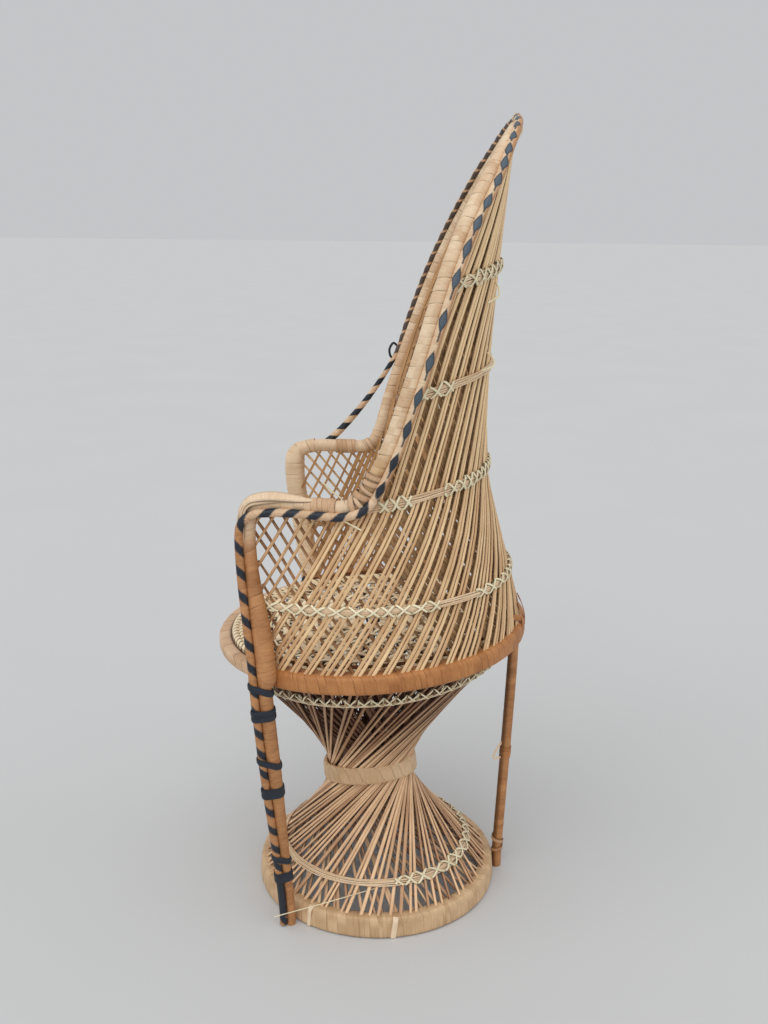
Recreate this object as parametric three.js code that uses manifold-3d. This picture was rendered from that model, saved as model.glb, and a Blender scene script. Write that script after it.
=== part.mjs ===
// Child's peacock chair: an hourglass pedestal of crossing rattan stakes carries a round seat,
// and a woven back rises from the seat hoop to a bent frame pole.
// Millimetres, +Z up. The sitter faces -Y. Angles are counted from the front towards +X.
import * as THREE from 'three';
import { mergeVertices } from 'three/addons/utils/BufferGeometryUtils.js';
import Module from 'manifold-3d';

const wasm = await Module();
wasm.setup();

// Stock: poles, rods, cane and stakes
const poleRadius = 7;
const rodRadius = 4;
const legRadius = 5.5;
const hoopRadius = 5.5;
const caneThickness = 1.5;
const stakeWidth = 4.2;
const stakeThickness = 2;
const reedWidth = 7;
const reedThickness = 2.2;
const clearance = 0.3;
const layerGap = 2.2;

// Base hoop and waist
const baseRadius = 130;
const baseHeight = 23;
const waistRadius = 47;
const waistHeight = 130;
const waistBand = 18;
const waistTilt = 6;

// Seat hoop: height at its middle, tilted up to the rear
const seatRadius = 161.5;
const seatBand = 19;
const seatHeight = 293.5;
const seatSetback = -8;
const seatTilt = 3.9;
const seatSpokes = 12;
const seatWeaverRadii = [42, 72, 102];
const seatHubRadius = 16;
const seatBorder = 12;
const seatLevel = 3;
const spokeWidth = 6;

// Frame poles: front legs, posts and arms, racked a little by use
const footAngle = 60.3;
const footTwist = -10.8;
const rearFootTwist = 1.9;
const postAngle = 59.1;
const postTwist = -6;
const cornerX = 128.5;
const cornerY = -112;
const cornerTwist = -6.1;
const armHeight = 457;
const armEndX = 138;
const armEndY = -13;
const armTwist = -2.6;
const armJointSetback = 34;
const cornerRadius = 24;
const bendRadius = 16;

// Back arch and the rear line of the weave
const archWidth = 280;
const archShoulder = 600;
const archTop = 805;
const archLean = 0.33;
const archCurlRadius = 575;
const archRoundness = 1.75;
const archCurlStart = 620;
const backWaistY = 105;
const backWaistHeight = 534;
const backWaistTwist = -1.3;
const archTwist = -3.4;
const armRearY = 108.5;
const rearSweep = 1.5;

// Weave counts and slopes
const pedestalStakes = 20;
const backStakes = 24;
const lowLay = 1440;
const highLay = 2118;
const lowerRowHeight = 45;
const upperRowDrop = 20;
const firstRowHeight = 364;
const stakeFoot = 2;
const neckShare = 0.27;
const rowBite = 0.5;
const kneeSpacing = 8;
const secondRowRise = 9;
const thirdRowRise = 109;
const fourthRowRise = 204;
const upperRows = [
  { name: 'back_row_2', height: armHeight + secondRowRise, slope: 0.14 },
  { name: 'back_row_3', height: armHeight + thirdRowRise, slope: 0.19 },
  { name: 'back_row_4', height: armHeight + fourthRowRise, slope: 0.26 },
];

// Black bands on the front legs and the lashing on the rear leg
const bandHeights = [62, 166, 253];
const bandWidth = 10;
const bandThickness = 1.2;
const jointBinding = 16;
const rearLashingHeight = 143;
const rearLashing = 14;

// Facets: steps along hoops and poles, sides round them
const hoopFacets = 36;
const coreFacets = 28;
const waistFacets = 22;
const coreSides = 6;
const poleSides = 8;
const rodSides = 6;
const bandSides = 14;
const armSteps = 36;
const archSteps = 40;
const rodSteps = 44;
const legSteps = 10;
const rowSteps = 16;
const curveSamples = 400;

// Sizes that follow from the ones above
const rad = THREE.MathUtils.degToRad;
const deg = THREE.MathUtils.radToDeg;
const { lerp } = THREE.MathUtils;
const layerPitch = stakeThickness + layerGap;
const slantedPitch = 1.4 * layerPitch;
const inFacets = (radius) => radius * Math.cos(Math.PI / hoopFacets);
const seatWall = seatRadius - caneThickness;
const seatStakeRadius = inFacets(seatWall) - clearance - stakeThickness / 2;
const seatCoreRadius = seatStakeRadius - layerPitch - stakeThickness / 2 - clearance - hoopRadius;
const seatInnerWall = seatCoreRadius - hoopRadius - clearance;
const seatInnerRadius = seatInnerWall - caneThickness;
const seatFloor = -seatBand / 2 + caneThickness;
const baseWall = baseRadius - caneThickness;
const baseCoreRadius = inFacets(baseWall) - clearance - hoopRadius;
const baseCoreHeight = caneThickness + clearance + hoopRadius;
const baseInnerWall = baseCoreRadius - hoopRadius - clearance;
const pedestalFoot = baseCoreHeight + hoopRadius + clearance;
const waistStakeRadius = waistRadius - caneThickness - clearance - stakeThickness / 2;
const archPeak = archTop - poleRadius;
const rodStandoff = poleRadius + rodRadius + 4 * clearance;

// Boolean joins and cuts
function toSolid(geometry) {
  const bare = geometry.clone();
  bare.deleteAttribute('normal');
  bare.deleteAttribute('uv');
  const merged = mergeVertices(bare, 1e-3);
  const vertProperties = new Float32Array(merged.attributes.position.array);
  const triVerts = new Uint32Array(merged.index.array);
  return new wasm.Manifold(new wasm.Mesh({ numProp: 3, vertProperties, triVerts }));
}

function toGeometry(solid) {
  const mesh = solid.getMesh();
  const geometry = new THREE.BufferGeometry();
  geometry.setAttribute('position', new THREE.BufferAttribute(mesh.vertProperties, 3));
  geometry.setIndex(new THREE.BufferAttribute(mesh.triVerts, 1));
  return geometry;
}

function join(geometries) {
  return geometries.map(toSolid).reduce((sum, solid) => sum.add(solid));
}

function cutBack(solid, neighbours) {
  return neighbours.map(toSolid).reduce((rest, neighbour) => rest.subtract(neighbour), solid);
}

// Cuts a woven solid back from its neighbours and drops the offcuts beyond them
function trim(solid, neighbours) {
  const pieces = cutBack(solid, neighbours).decompose().sort((a, b) => b.volume() - a.volume());
  return toGeometry(pieces[0]);
}

// Turns every triangle outwards
function outward(geometry) {
  const points = geometry.attributes.position;
  const index = Array.from(geometry.index.array);
  const [a, b, c] = [new THREE.Vector3(), new THREE.Vector3(), new THREE.Vector3()];
  let volume = 0;
  for (let i = 0; i < index.length; i += 3) {
    a.fromBufferAttribute(points, index[i]);
    b.fromBufferAttribute(points, index[i + 1]);
    c.fromBufferAttribute(points, index[i + 2]);
    volume += a.dot(b.cross(c));
  }
  if (volume < 0) geometry.setIndex(index.reverse());
  return geometry;
}

// Skin over a row of equal outlines: a closed loop, or open with capped ends.
// Opposite faces are split along the same diagonal, so that a twisted strip keeps its thickness.
function loft(outlines, loop = false, cap = null) {
  const count = outlines[0].length;
  const spans = loop ? outlines.length : outlines.length - 1;
  const index = [];
  for (let i = 0; i < spans; i++) {
    const near = i * count;
    const far = ((i + 1) % outlines.length) * count;
    for (let j = 0; j < count; j++) {
      const k = (j + 1) % count;
      if (j < count / 2) index.push(near + j, near + k, far + k, near + j, far + k, far + j);
      else index.push(near + j, near + k, far + j, near + k, far + k, far + j);
    }
  }
  if (!loop) {
    const end = (outlines.length - 1) * count;
    const faces = cap ?? Array.from({ length: count - 2 }, (_, j) => [0, j + 1, j + 2]);
    for (const [a, b, c] of faces) index.push(a, c, b, end + a, end + b, end + c);
  }
  const geometry = new THREE.BufferGeometry().setFromPoints(outlines.flat());
  geometry.setIndex(index);
  return outward(geometry);
}

// Flat strip along a path, given the outward normal at each point
function strip(path, normals, width, thickness, loop = false, planes = []) {
  const last = path.length - 1;
  const outlines = path.map((point, i) => {
    const before = path[i > 0 ? i - 1 : loop ? last : 0];
    const after = path[i < last ? i + 1 : loop ? 0 : last];
    const along = new THREE.Vector3().subVectors(after, before).normalize();
    const across = new THREE.Vector3().crossVectors(along, normals[i]).normalize();
    const up = new THREE.Vector3().crossVectors(across, along).normalize();
    const corners = [[1, 1], [-1, 1], [-1, -1], [1, -1]].map(([w, t]) => point.clone()
      .addScaledVector(across, (w * width) / 2)
      .addScaledVector(up, (t * thickness) / 2));
    const plane = i === 0 ? planes[0] : i === last ? planes[1] : null;
    if (plane) {
      for (const corner of corners) {
        corner.addScaledVector(along, -plane.distanceToPoint(corner) / plane.normal.dot(along));
      }
    }
    return corners;
  });
  return loft(outlines, loop);
}

// Round pole along a curve
function pole(curve, radius, sides, steps) {
  const outline = Array.from({ length: sides }, (_, i) => {
    const angle = (2 * Math.PI * i) / sides;
    return new THREE.Vector2(radius * Math.cos(angle), radius * Math.sin(angle));
  });
  const shape = new THREE.Shape(outline);
  return new THREE.ExtrudeGeometry(shape, { steps, extrudePath: curve, bevelEnabled: false });
}

// Hoop of a closed profile of radius and height
function hoop(profile, segments) {
  const outline = [...profile, profile[0]].map(([radius, height]) => new THREE.Vector2(radius, height));
  const geometry = new THREE.LatheGeometry(outline, segments).rotateX(Math.PI / 2);
  geometry.deleteAttribute('normal');
  geometry.deleteAttribute('uv');
  return outward(mergeVertices(geometry, 1e-3));
}

function roundProfile(centre, height, radius, sides) {
  return Array.from({ length: sides }, (_, i) => {
    const angle = (2 * Math.PI * (i + 0.5)) / sides;
    return [centre + radius * Math.cos(angle), height + radius * Math.sin(angle)];
  });
}

// Part of a hoop between two angles, with capped ends
function hoopArc(profile, from, to, segments) {
  const outlines = Array.from({ length: segments + 1 }, (_, i) =>
    profile.map(([radius, height]) => polar(radius, lerp(from, to, i / segments), height)));
  const flat = profile.map(([radius, height]) => new THREE.Vector2(radius, height));
  const { area, triangulateShape } = THREE.ShapeUtils;
  const cap = triangulateShape(flat, []).map(([a, b, c]) =>
    area([flat[a], flat[b], flat[c]]) * area(flat) > 0 ? [a, b, c] : [a, c, b]);
  return loft(outlines, false, cap);
}

function polar(radius, angle, height) {
  return new THREE.Vector3(radius * Math.sin(rad(angle)), -radius * Math.cos(rad(angle)), height);
}

// Tilted frames of seat, waist binding and pedestal neck
const tilted = (tilt, y, z) => new THREE.Matrix4().makeRotationX(rad(tilt)).setPosition(0, y, z);
const waistSetback = (seatSetback * waistHeight) / seatHeight;
const seatFrame = tilted(seatTilt, seatSetback, seatHeight);
const waistFrame = tilted(waistTilt, waistSetback, waistHeight);
const neckFrame = tilted(seatTilt / 2, waistSetback, waistHeight);
const onSeat = (radius, angle, height) => polar(radius, angle, height).applyMatrix4(seatFrame);

// Scene graph
const chair = new THREE.Group();
const seat = new THREE.Group();
seat.applyMatrix4(seatFrame);
const waist = new THREE.Group();
waist.applyMatrix4(waistFrame);
chair.add(seat, waist);

const straw = 0xb98f5e;
const tanCane = 0xc09058;
const orangeCane = 0xb0713f;
const paleReed = 0xc8b078;
const blackCane = 0x1d2229;

function add(name, geometry, color, parent = chair) {
  const material = new THREE.MeshStandardMaterial({ color, roughness: 0.6, metalness: 0 });
  const mesh = new THREE.Mesh(geometry, material);
  mesh.name = name;
  parent.add(mesh);
  return mesh;
}

// Base hoop: a round pole in a binding that is open above, where the stakes go in
function buildBase() {
  const core = roundProfile(baseCoreRadius, baseCoreHeight, hoopRadius, coreSides);
  add('base_hoop', hoop(core, coreFacets), straw);
  const innerTop = baseCoreHeight + hoopRadius / 2;
  const profile = [
    [baseRadius, 0], [baseRadius, baseHeight], [baseWall, baseHeight], [baseWall, caneThickness],
    [baseInnerWall, caneThickness], [baseInnerWall, innerTop],
    [baseInnerWall - caneThickness, innerTop], [baseInnerWall - caneThickness, 0],
  ];
  add('base_hoop_binding', hoop(profile, hoopFacets), tanCane);
}

// Hourglass pedestal: straight stakes, each touching the waist circle half way,
// with the two layers leaning opposite ways
function pedestalStake(layer, number) {
  const lean = layer === 0 ? 1 : -1;
  const inset = slantedPitch * layer;
  const footRadius = baseCoreRadius + stakeThickness - inset;
  const neckRadius = waistStakeRadius - inset;
  const headRadius = seatCoreRadius + stakeThickness - inset;
  const start = (360 * (number + layer / 2)) / pedestalStakes;
  const lowSweep = lean * deg(Math.acos(neckRadius / footRadius));
  const highSweep = lean * deg(Math.acos(neckRadius / headRadius));
  const foot = polar(footRadius, start, pedestalFoot);
  const neck = polar(neckRadius, start + lowSweep, 0).applyMatrix4(neckFrame);
  const head = onSeat(headRadius, start + lowSweep + highSweep, -seatBand / 2 - clearance);
  const lowRow = foot.clone().lerp(neck, (lowerRowHeight - pedestalFoot) / (waistHeight - pedestalFoot));
  const highRow = head.clone().lerp(neck, upperRowDrop / (head.z - neck.z));
  const normal = (from, to, at) => {
    const round = new THREE.Vector3(-at.y, at.x, 0);
    const out = new THREE.Vector3().subVectors(to, from).cross(round).normalize();
    return out.dot(new THREE.Vector3(at.x, at.y, 0)) < 0 ? out.negate() : out;
  };
  const below = neck.clone().lerp(foot, neckShare);
  const above = neck.clone().lerp(head, neckShare);
  return {
    path: [foot, below, neck, above, head],
    normals: [
      normal(foot, neck, foot), normal(foot, neck, below), normal(foot, head, neck),
      normal(neck, head, above), normal(neck, head, head),
    ],
    lowRow: { point: lowRow, normal: normal(foot, neck, lowRow) },
    highRow: { point: highRow, normal: normal(neck, head, highRow) },
  };
}

// Twined row across the stakes, pressed a little into them on one side: its corners lie between the
// stakes, far enough out for the straight lengths to meet each stake
function twinedRow(stops, side, loop, bite = rowBite) {
  const offset = side * (stakeThickness / 2 + reedThickness / 2 - bite);
  const last = stops.length - 1;
  const corners = stops.slice(loop ? 0 : 1).map((stop, i) => {
    const before = stops[loop ? (i + last) % (last + 1) : i];
    const point = stop.point.clone().add(before.point).divideScalar(2);
    const normal = stop.normal.clone().add(before.normal).normalize();
    const half = stop.normal.angleTo(before.normal) / 2;
    const bow = (stop.point.distanceTo(before.point) / 2) * Math.tan(half);
    return { point: point.addScaledVector(normal, offset + bow), normal };
  });
  if (!loop) {
    for (const stop of [stops[0], stops[last]]) {
      const end = { point: stop.point.clone().addScaledVector(stop.normal, offset), normal: stop.normal };
      if (stop === stops[0]) corners.unshift(end);
      else corners.push(end);
    }
  }
  const path = corners.map((corner) => corner.point);
  return strip(path, corners.map((corner) => corner.normal), reedWidth, reedThickness, loop);
}

function buildPedestal() {
  const floorPlane = new THREE.Plane(new THREE.Vector3(0, 0, 1), -pedestalFoot);
  const seatUp = new THREE.Vector3(0, 0, 1).transformDirection(seatFrame);
  const seatUnder = onSeat(0, 0, -seatBand / 2 - clearance);
  const ceiling = new THREE.Plane().setFromNormalAndCoplanarPoint(seatUp, seatUnder);
  const numbers = Array.from({ length: pedestalStakes }, (_, i) => i);
  const rearLeg = pole(rearLegCurve(), legRadius + clearance, poleSides, legSteps);
  for (const [layer, name] of ['pedestal_outer_stakes', 'pedestal_inner_stakes'].entries()) {
    const stakes = numbers.map((number) => pedestalStake(layer, number));
    const strips = stakes.map(({ path, normals }) =>
      strip(path, normals, stakeWidth, stakeThickness, false, [floorPlane, ceiling]));
    const side = layer === 0 ? 1 : -1;
    const lowerRow = twinedRow(stakes.map((stake) => stake.lowRow), side, true);
    add(name, trim(join([lowerRow, ...strips]), [rearLeg]), straw);
    if (layer === 0) {
      const upperRow = twinedRow(stakes.map((stake) => stake.highRow), side, true, -2 * clearance);
      add('pedestal_upper_row', upperRow, paleReed);
    }
  }
  const half = waistBand / 2;
  const drop = waistRadius * Math.sin(rad(waistTilt));
  const inside = (height) =>
    (Math.hypot(waistStakeRadius, Math.abs(height) + drop) + stakeThickness / 2 + clearance +
      Math.abs(height) * Math.sin(rad(waistTilt))) /
    (Math.cos(Math.PI / waistFacets) * Math.cos(rad(waistTilt)));
  const band = [-half, 0, half].map((height) => [inside(height), height]);
  const face = [half, 0, -half].map((height) => [inside(height) + caneThickness, height]);
  add('waist_binding', hoop([...band, ...face], waistFacets), tanCane, waist);
  const core = waistStakeRadius - slantedPitch - stakeThickness / 2 - clearance - rodRadius;
  add('waist_hoop', hoop(roundProfile(core, 0, rodRadius, coreSides), waistFacets), straw, waist);
}

// Seat: hoop, its binding, spokes in a border, and rings woven over and under the spokes
function buildSeat() {
  const coreHeight = seatFloor + clearance + hoopRadius;
  const core = roundProfile(seatCoreRadius, coreHeight, hoopRadius, coreSides);
  add('seat_hoop', hoop(core, coreFacets), straw, seat);
  const half = seatBand / 2;
  const innerTop = half - caneThickness - clearance;
  const channel = [
    [seatRadius, -half], [seatInnerRadius, -half], [seatInnerRadius, innerTop], [seatInnerWall, innerTop],
    [seatInnerWall, seatFloor], [seatWall, seatFloor],
  ];
  const open = [...channel, [seatWall, half], [seatRadius, half]];
  const lip = half - caneThickness;
  const closed = [
    ...channel, [seatWall, lip], [seatInnerRadius, lip], [seatInnerRadius, half], [seatRadius, half],
  ];
  const mouth = postAngle - deg(poleRadius / seatRadius);
  const seam = deg(clearance / seatRadius);
  const rearFacets = Math.ceil((hoopFacets * (180 - mouth)) / 180);
  const frontFacets = Math.ceil((hoopFacets * mouth) / 180);
  const rear = hoopArc(open, postTwist + mouth, postTwist + 360 - mouth, rearFacets);
  const front = hoopArc(closed, postTwist + seam - mouth, postTwist + mouth - seam, frontFacets);
  add('seat_hoop_binding_rear', rear, orangeCane, seat);
  add('seat_hoop_binding_front', front, orangeCane, seat);

  const borderOuter = inFacets(seatInnerRadius) - clearance;
  const rectangle = (inner, outer) => [
    [inner, seatLevel - stakeThickness / 2], [outer, seatLevel - stakeThickness / 2],
    [outer, seatLevel + stakeThickness / 2], [inner, seatLevel + stakeThickness / 2],
  ];
  const up = new THREE.Vector3(0, 0, 1);
  const spokes = Array.from({ length: seatSpokes }, (_, i) => {
    const angle = (360 * i) / seatSpokes;
    const inner = polar(seatHubRadius / 2, angle, seatLevel);
    const path = [inner, polar(borderOuter - seatBorder / 2, angle, seatLevel)];
    return strip(path, [up, up], spokeWidth, stakeThickness);
  });
  const border = hoop(rectangle(borderOuter - seatBorder, borderOuter), 2 * seatSpokes);
  const hub = hoop(rectangle(seatHubRadius / 3, seatHubRadius), seatSpokes);
  add('seat_spokes', toGeometry(join([border, hub, ...spokes])), straw, seat);

  seatWeaverRadii.forEach((radius, ring) => {
    const reach = (Math.PI * radius) / seatSpokes;
    const lift = (stakeThickness / 2 + reedThickness / 2 + clearance) / (1 - spokeWidth / 2 / reach);
    const path = Array.from({ length: 2 * seatSpokes }, (_, i) => {
      const swing = i % 2 ? 0 : (i / 2 + ring) % 2 ? lift : -lift;
      return polar(radius, (180 * i) / seatSpokes, seatLevel + swing);
    });
    const ribbon = strip(path, path.map(() => up), reedWidth, reedThickness, true);
    add(`seat_weaver_${ring + 1}`, ribbon, paleReed, seat);
  });
}

// Frame: a point on one side, turned by the racking of the old frame
const upright = new THREE.Vector3(0, 0, 1);
function spot(side, x, y, z, twist) {
  return new THREE.Vector3(side * x, y, z).applyAxisAngle(upright, rad(twist));
}

function towards(from, to, distance) {
  return from.clone().addScaledVector(to.clone().sub(from).normalize(), distance);
}

// Middle of a round bend between two tangent points
const bend = (before, apex, after) => new THREE.Vector3()
  .addScaledVector(before, 0.25).addScaledVector(apex, 0.5).addScaledVector(after, 0.25);

function rimHalf(z) {
  const rise = (z - armHeight) / (archShoulder - armHeight);
  if (z < archShoulder) return lerp(armEndX, archWidth / 2, rise);
  const t = Math.min((z - archShoulder) / (archPeak - archShoulder), 1);
  return (archWidth / 2) * (1 - t * t) ** (1 / archRoundness);
}

function rimY(z) {
  return armEndY + archLean * (z - armHeight) + Math.max(0, z - archCurlStart) ** 2 / (2 * archCurlRadius);
}

// Racking of the back: less from the posts up to the narrow place, then more up to the top
function backTwist(z) {
  if (z < armHeight) return lerp(postTwist, armTwist, (z - seatHeight) / (armHeight - seatHeight));
  if (z < backWaistHeight) {
    return lerp(armTwist, backWaistTwist, (z - armHeight) / (backWaistHeight - armHeight));
  }
  return lerp(backWaistTwist, archTwist, (z - backWaistHeight) / (archPeak - backWaistHeight));
}

const rim = (side, z) => spot(side, rimHalf(z), rimY(z), z, backTwist(z));

// Front leg, post and arm in one pole: stations from the floor to the joint with the arch
function armStations(side) {
  const foot = polar(baseRadius + clearance + poleRadius, side * footAngle + footTwist, 0);
  const beside = seatRadius + clearance + poleRadius;
  const post = side * postAngle + postTwist;
  const low = onSeat(beside, post, -seatBand);
  const high = onSeat(beside, post, seatBand);
  const apex = spot(side, cornerX, cornerY, armHeight, cornerTwist);
  const end = spot(side, armEndX, armEndY, armHeight, armTwist);
  const before = towards(apex, high, cornerRadius);
  const after = towards(apex, end, cornerRadius);
  const joint = towards(end, apex, armJointSetback + clearance);
  const shoe = foot.clone().setZ(2 * poleRadius);
  return { foot, shoe, low, high, before, corner: bend(before, apex, after), after, joint, end };
}

// Back arch from its joint with one arm to the top
function archStations(side) {
  const { after, end } = armStations(side);
  const joint = towards(end, after, armJointSetback);
  const before = towards(end, after, bendRadius);
  const above = rim(side, armHeight + bendRadius);
  const straight = [0.3, 0.65].map((t) => rim(side, lerp(armHeight + bendRadius, archShoulder, t)));
  const crown = [0, 15, 30, 45, 60, 75].map((angle) =>
    rim(side, archShoulder + (archPeak - archShoulder) * Math.sin(rad(angle))));
  return [joint, before, bend(before, end, above), above, ...straight, ...crown];
}

function armCurve(side) {
  const { foot, shoe, low, high, before, corner, after, joint } = armStations(side);
  return new THREE.CatmullRomCurve3([foot, shoe, low, high, before, corner, after, joint]);
}

// The level run of the arm alone
function armRunCurve(side) {
  const { corner, after, joint } = armStations(side);
  return new THREE.CatmullRomCurve3([corner, after, joint]);
}

function archCurve() {
  const top = rim(1, archPeak);
  return new THREE.CatmullRomCurve3([...archStations(1), top, ...archStations(-1).reverse()]);
}

// Striped rod beside the frame: in front of the post, under the arm's outer side, behind the arch.
// On the left it has sprung out of the corner between arm and arch, and lies in front of the arch.
function rodCurve(side) {
  const arm = armStations(side);
  const arch = archStations(side);
  const front = new THREE.Vector3(side * 0.35, -0.94, 0);
  const outside = new THREE.Vector3(side * 0.9, -0.4, -0.1);
  const under = new THREE.Vector3(side * 0.8, 0, -0.6);
  const turning = new THREE.Vector3(side * 0.85, 0.4, -0.35);
  const beside = new THREE.Vector3(side, 0, 0);
  const behind = new THREE.Vector3(side * 0.6, 0.78, -0.1);
  const stops = [
    [arm.foot.clone().setZ(rodRadius / 2), front], [arm.shoe, front], [arm.low, front], [arm.high, front],
    [arm.before, front], [arm.corner, outside], [arm.after, side > 0 ? under : beside],
  ];
  if (side > 0) {
    stops.push([arm.joint, under], [arch[1], under], [arch[2], turning]);
    stops.push([arch[3], behind], [arch[4], behind]);
  } else {
    stops.push([towards(arm.after, arm.joint, poleRadius), beside]);
  }
  for (const point of arch.slice(5)) stops.push([point, side > 0 ? behind : front]);
  const top = rim(side, archPeak).add(new THREE.Vector3(side * rodRadius, 0, 0));
  stops.push([top, new THREE.Vector3(0, side * 0.95, 0.3)]);
  const line = new THREE.CatmullRomCurve3(stops.map(([point]) => point));
  const lie = new THREE.CatmullRomCurve3(stops.map(([, direction]) => direction));
  const count = 3 * (stops.length - 1);
  const points = Array.from({ length: count + 1 }, (_, i) => {
    const along = line.getTangent(i / count);
    const away = lie.getPoint(i / count);
    away.addScaledVector(along, -away.dot(along)).normalize();
    return line.getPoint(i / count).addScaledVector(away, rodStandoff);
  });
  return new THREE.CatmullRomCurve3(points);
}

const sides = [[1, 'right'], [-1, 'left']];
const polePieces = (extra) => [
  ...sides.map(([side]) => pole(armCurve(side), poleRadius + extra, poleSides, armSteps)),
  pole(archCurve(), poleRadius + extra, poleSides, archSteps),
];
const rodPieces = (extra) =>
  sides.map(([side]) => pole(rodCurve(side), rodRadius + extra, rodSides, rodSteps));

// Outline round a pole and the rod beside it, in a plane across both
function pairOutline(distance, grow) {
  return Array.from({ length: bandSides }, (_, i) => {
    const angle = (2 * Math.PI * (i + 0.5)) / bandSides;
    const far = Math.cos(angle) * distance > poleRadius - rodRadius;
    const radius = (far ? rodRadius : poleRadius) + grow;
    return new THREE.Vector2((far ? distance : 0) + radius * Math.cos(angle), radius * Math.sin(angle));
  });
}

function acrossPair(shape, { centre, along, towardsRod }, width) {
  const geometry = new THREE.ExtrudeGeometry(shape, { depth: width, bevelEnabled: false });
  const x = towardsRod.clone().addScaledVector(along, -towardsRod.dot(along)).normalize();
  const y = new THREE.Vector3().crossVectors(along, x);
  const frame = new THREE.Matrix4().makeBasis(x, y, along).setPosition(centre);
  return geometry.translate(0, 0, -width / 2).applyMatrix4(frame);
}

// Band of cane round a pole and its rod, and the room that it takes up
function tieBand(place, width) {
  const shape = new THREE.Shape(pairOutline(place.distance, 2 * clearance + bandThickness));
  shape.holes.push(new THREE.Path(pairOutline(place.distance, 2 * clearance)));
  return acrossPair(shape, place, width);
}

function bandRoom(place, width) {
  const shape = new THREE.Shape(pairOutline(place.distance, 3 * clearance + bandThickness));
  return acrossPair(shape, place, width + 2 * clearance);
}

function pairPlace(centre, along, rodPoint) {
  const towardsRod = rodPoint.clone().sub(centre);
  const distance = towardsRod.clone().addScaledVector(along, -towardsRod.dot(along)).length();
  return { centre, along, towardsRod, distance };
}

// Joint of arm and arch: where the rod has sprung away, the binding holds the pole alone
function jointPlace(side) {
  const { after, joint } = armStations(side);
  const along = joint.clone().sub(after).normalize();
  const place = pairPlace(joint, along, nearestOn(rodCurve(side).getSpacedPoints(curveSamples), joint));
  return side > 0 ? place : { ...place, distance: clearance };
}

function nearestOn(line, point) {
  return line.reduce((best, other) => (other.distanceTo(point) < best.distanceTo(point) ? other : best));
}

// Point of a curve at a height, searched along its rising first part
function atHeight(curve, height) {
  const heights = curve.getSpacedPoints(curveSamples).map((point) => point.z);
  const above = heights.findIndex((z) => z >= height);
  const part = (height - heights[above - 1]) / (heights[above] - heights[above - 1]);
  return (above - 1 + part) / curveSamples;
}

function buildFrame() {
  const [rightArm, leftArm, arch] = polePieces(0);
  const arms = { right: rightArm, left: leftArm };
  const rods = rodPieces(0);
  sides.forEach(([side, name], i) => {
    const lattice = shortStakes(side);
    const crossing = stakeLayers[side > 0 ? 1 : 0].map((stake) => stakeStrip(stake, clearance));
    const neighbours = [
      ...rodPieces(clearance), pole(archCurve(), poleRadius + clearance, poleSides, archSteps), ...crossing,
      bandRoom(jointPlace(side), jointBinding),
    ];
    const armSleeve = pole(armRunCurve(side), poleRadius + clearance, poleSides, legSteps);
    const whole = lattice.flatMap((stake) => carriedPieces(stake, neighbours, armSleeve))
      .reduce((sum, piece) => sum.add(piece), toSolid(arms[name]));
    add(`${name}_arm_pole`, toGeometry(whole), orangeCane);
    add(`${name}_striped_rod`, rods[i], blackCane);
    const curve = armCurve(side);
    const rod = rodCurve(side);
    bandHeights.forEach((height, number) => {
      const at = atHeight(curve, height);
      const rodPoint = rod.getPointAt(atHeight(rod, height));
      const place = pairPlace(curve.getPointAt(at), curve.getTangentAt(at), rodPoint);
      add(`${name}_leg_band_${number + 1}`, tieBand(place, bandWidth), blackCane);
    });
    add(`${name}_joint_binding`, tieBand(jointPlace(side), jointBinding), orangeCane);
  });
  add('back_arch', arch, tanCane);
}

// Rear leg: stands against the base hoop and ends square under the seat hoop
function rearLegCurve() {
  const foot = polar(baseRadius + clearance + legRadius, 180 + rearFootTwist, 0);
  const shoe = foot.clone().setZ(2 * legRadius);
  const reach = (seatWall + seatInnerWall) / 2;
  const top = onSeat(reach, 180, -seatBand / 2 - clearance);
  const neck = onSeat(reach, 180, -seatBand / 2 - 3 * legRadius);
  return new THREE.CatmullRomCurve3([foot, shoe, neck, top]);
}

function buildRearLeg() {
  const curve = rearLegCurve();
  add('rear_leg', pole(curve, legRadius, poleSides, legSteps), orangeCane);
  const place = atHeight(curve, rearLashingHeight);
  const along = curve.getTangentAt(place);
  const ringShape = new THREE.Shape().absarc(0, 0, legRadius + clearance + bandThickness, 0, 2 * Math.PI);
  ringShape.holes.push(new THREE.Path().absarc(0, 0, legRadius + clearance, 0, 2 * Math.PI));
  const cut = { depth: rearLashing, bevelEnabled: false, curveSegments: rodSides };
  const ring = new THREE.ExtrudeGeometry(ringShape, cut);
  const turn = new THREE.Quaternion().setFromUnitVectors(upright, along);
  ring.translate(0, 0, -rearLashing / 2).applyQuaternion(turn);
  ring.translate(...curve.getPointAt(place).toArray());
  add('rear_leg_lashing', ring, orangeCane);
}

// Back weave: arcs whose ends follow posts, arms and arch, counted as turns from the rear
function rearY(z) {
  if (z < backWaistHeight) {
    const below = (backWaistHeight - z) / (backWaistHeight - armHeight);
    return lerp(backWaistY, armRearY, below ** 2);
  }
  const t = (z - backWaistHeight) / (archPeak - backWaistHeight);
  return lerp(backWaistY, rimY(archPeak), t ** rearSweep);
}

function upperCircle(z) {
  const sag = rearY(z) - rimY(z);
  const radius = (rimHalf(z) ** 2 + sag ** 2) / (2 * sag);
  return { radius, centre: rearY(z) - radius };
}

const armCircle = upperCircle(armHeight);
const armEndTurn = deg(Math.atan2(armEndX, armEndY - armCircle.centre));
const cornerTurn = deg(Math.atan2(cornerX, cornerY - armCircle.centre));

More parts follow.
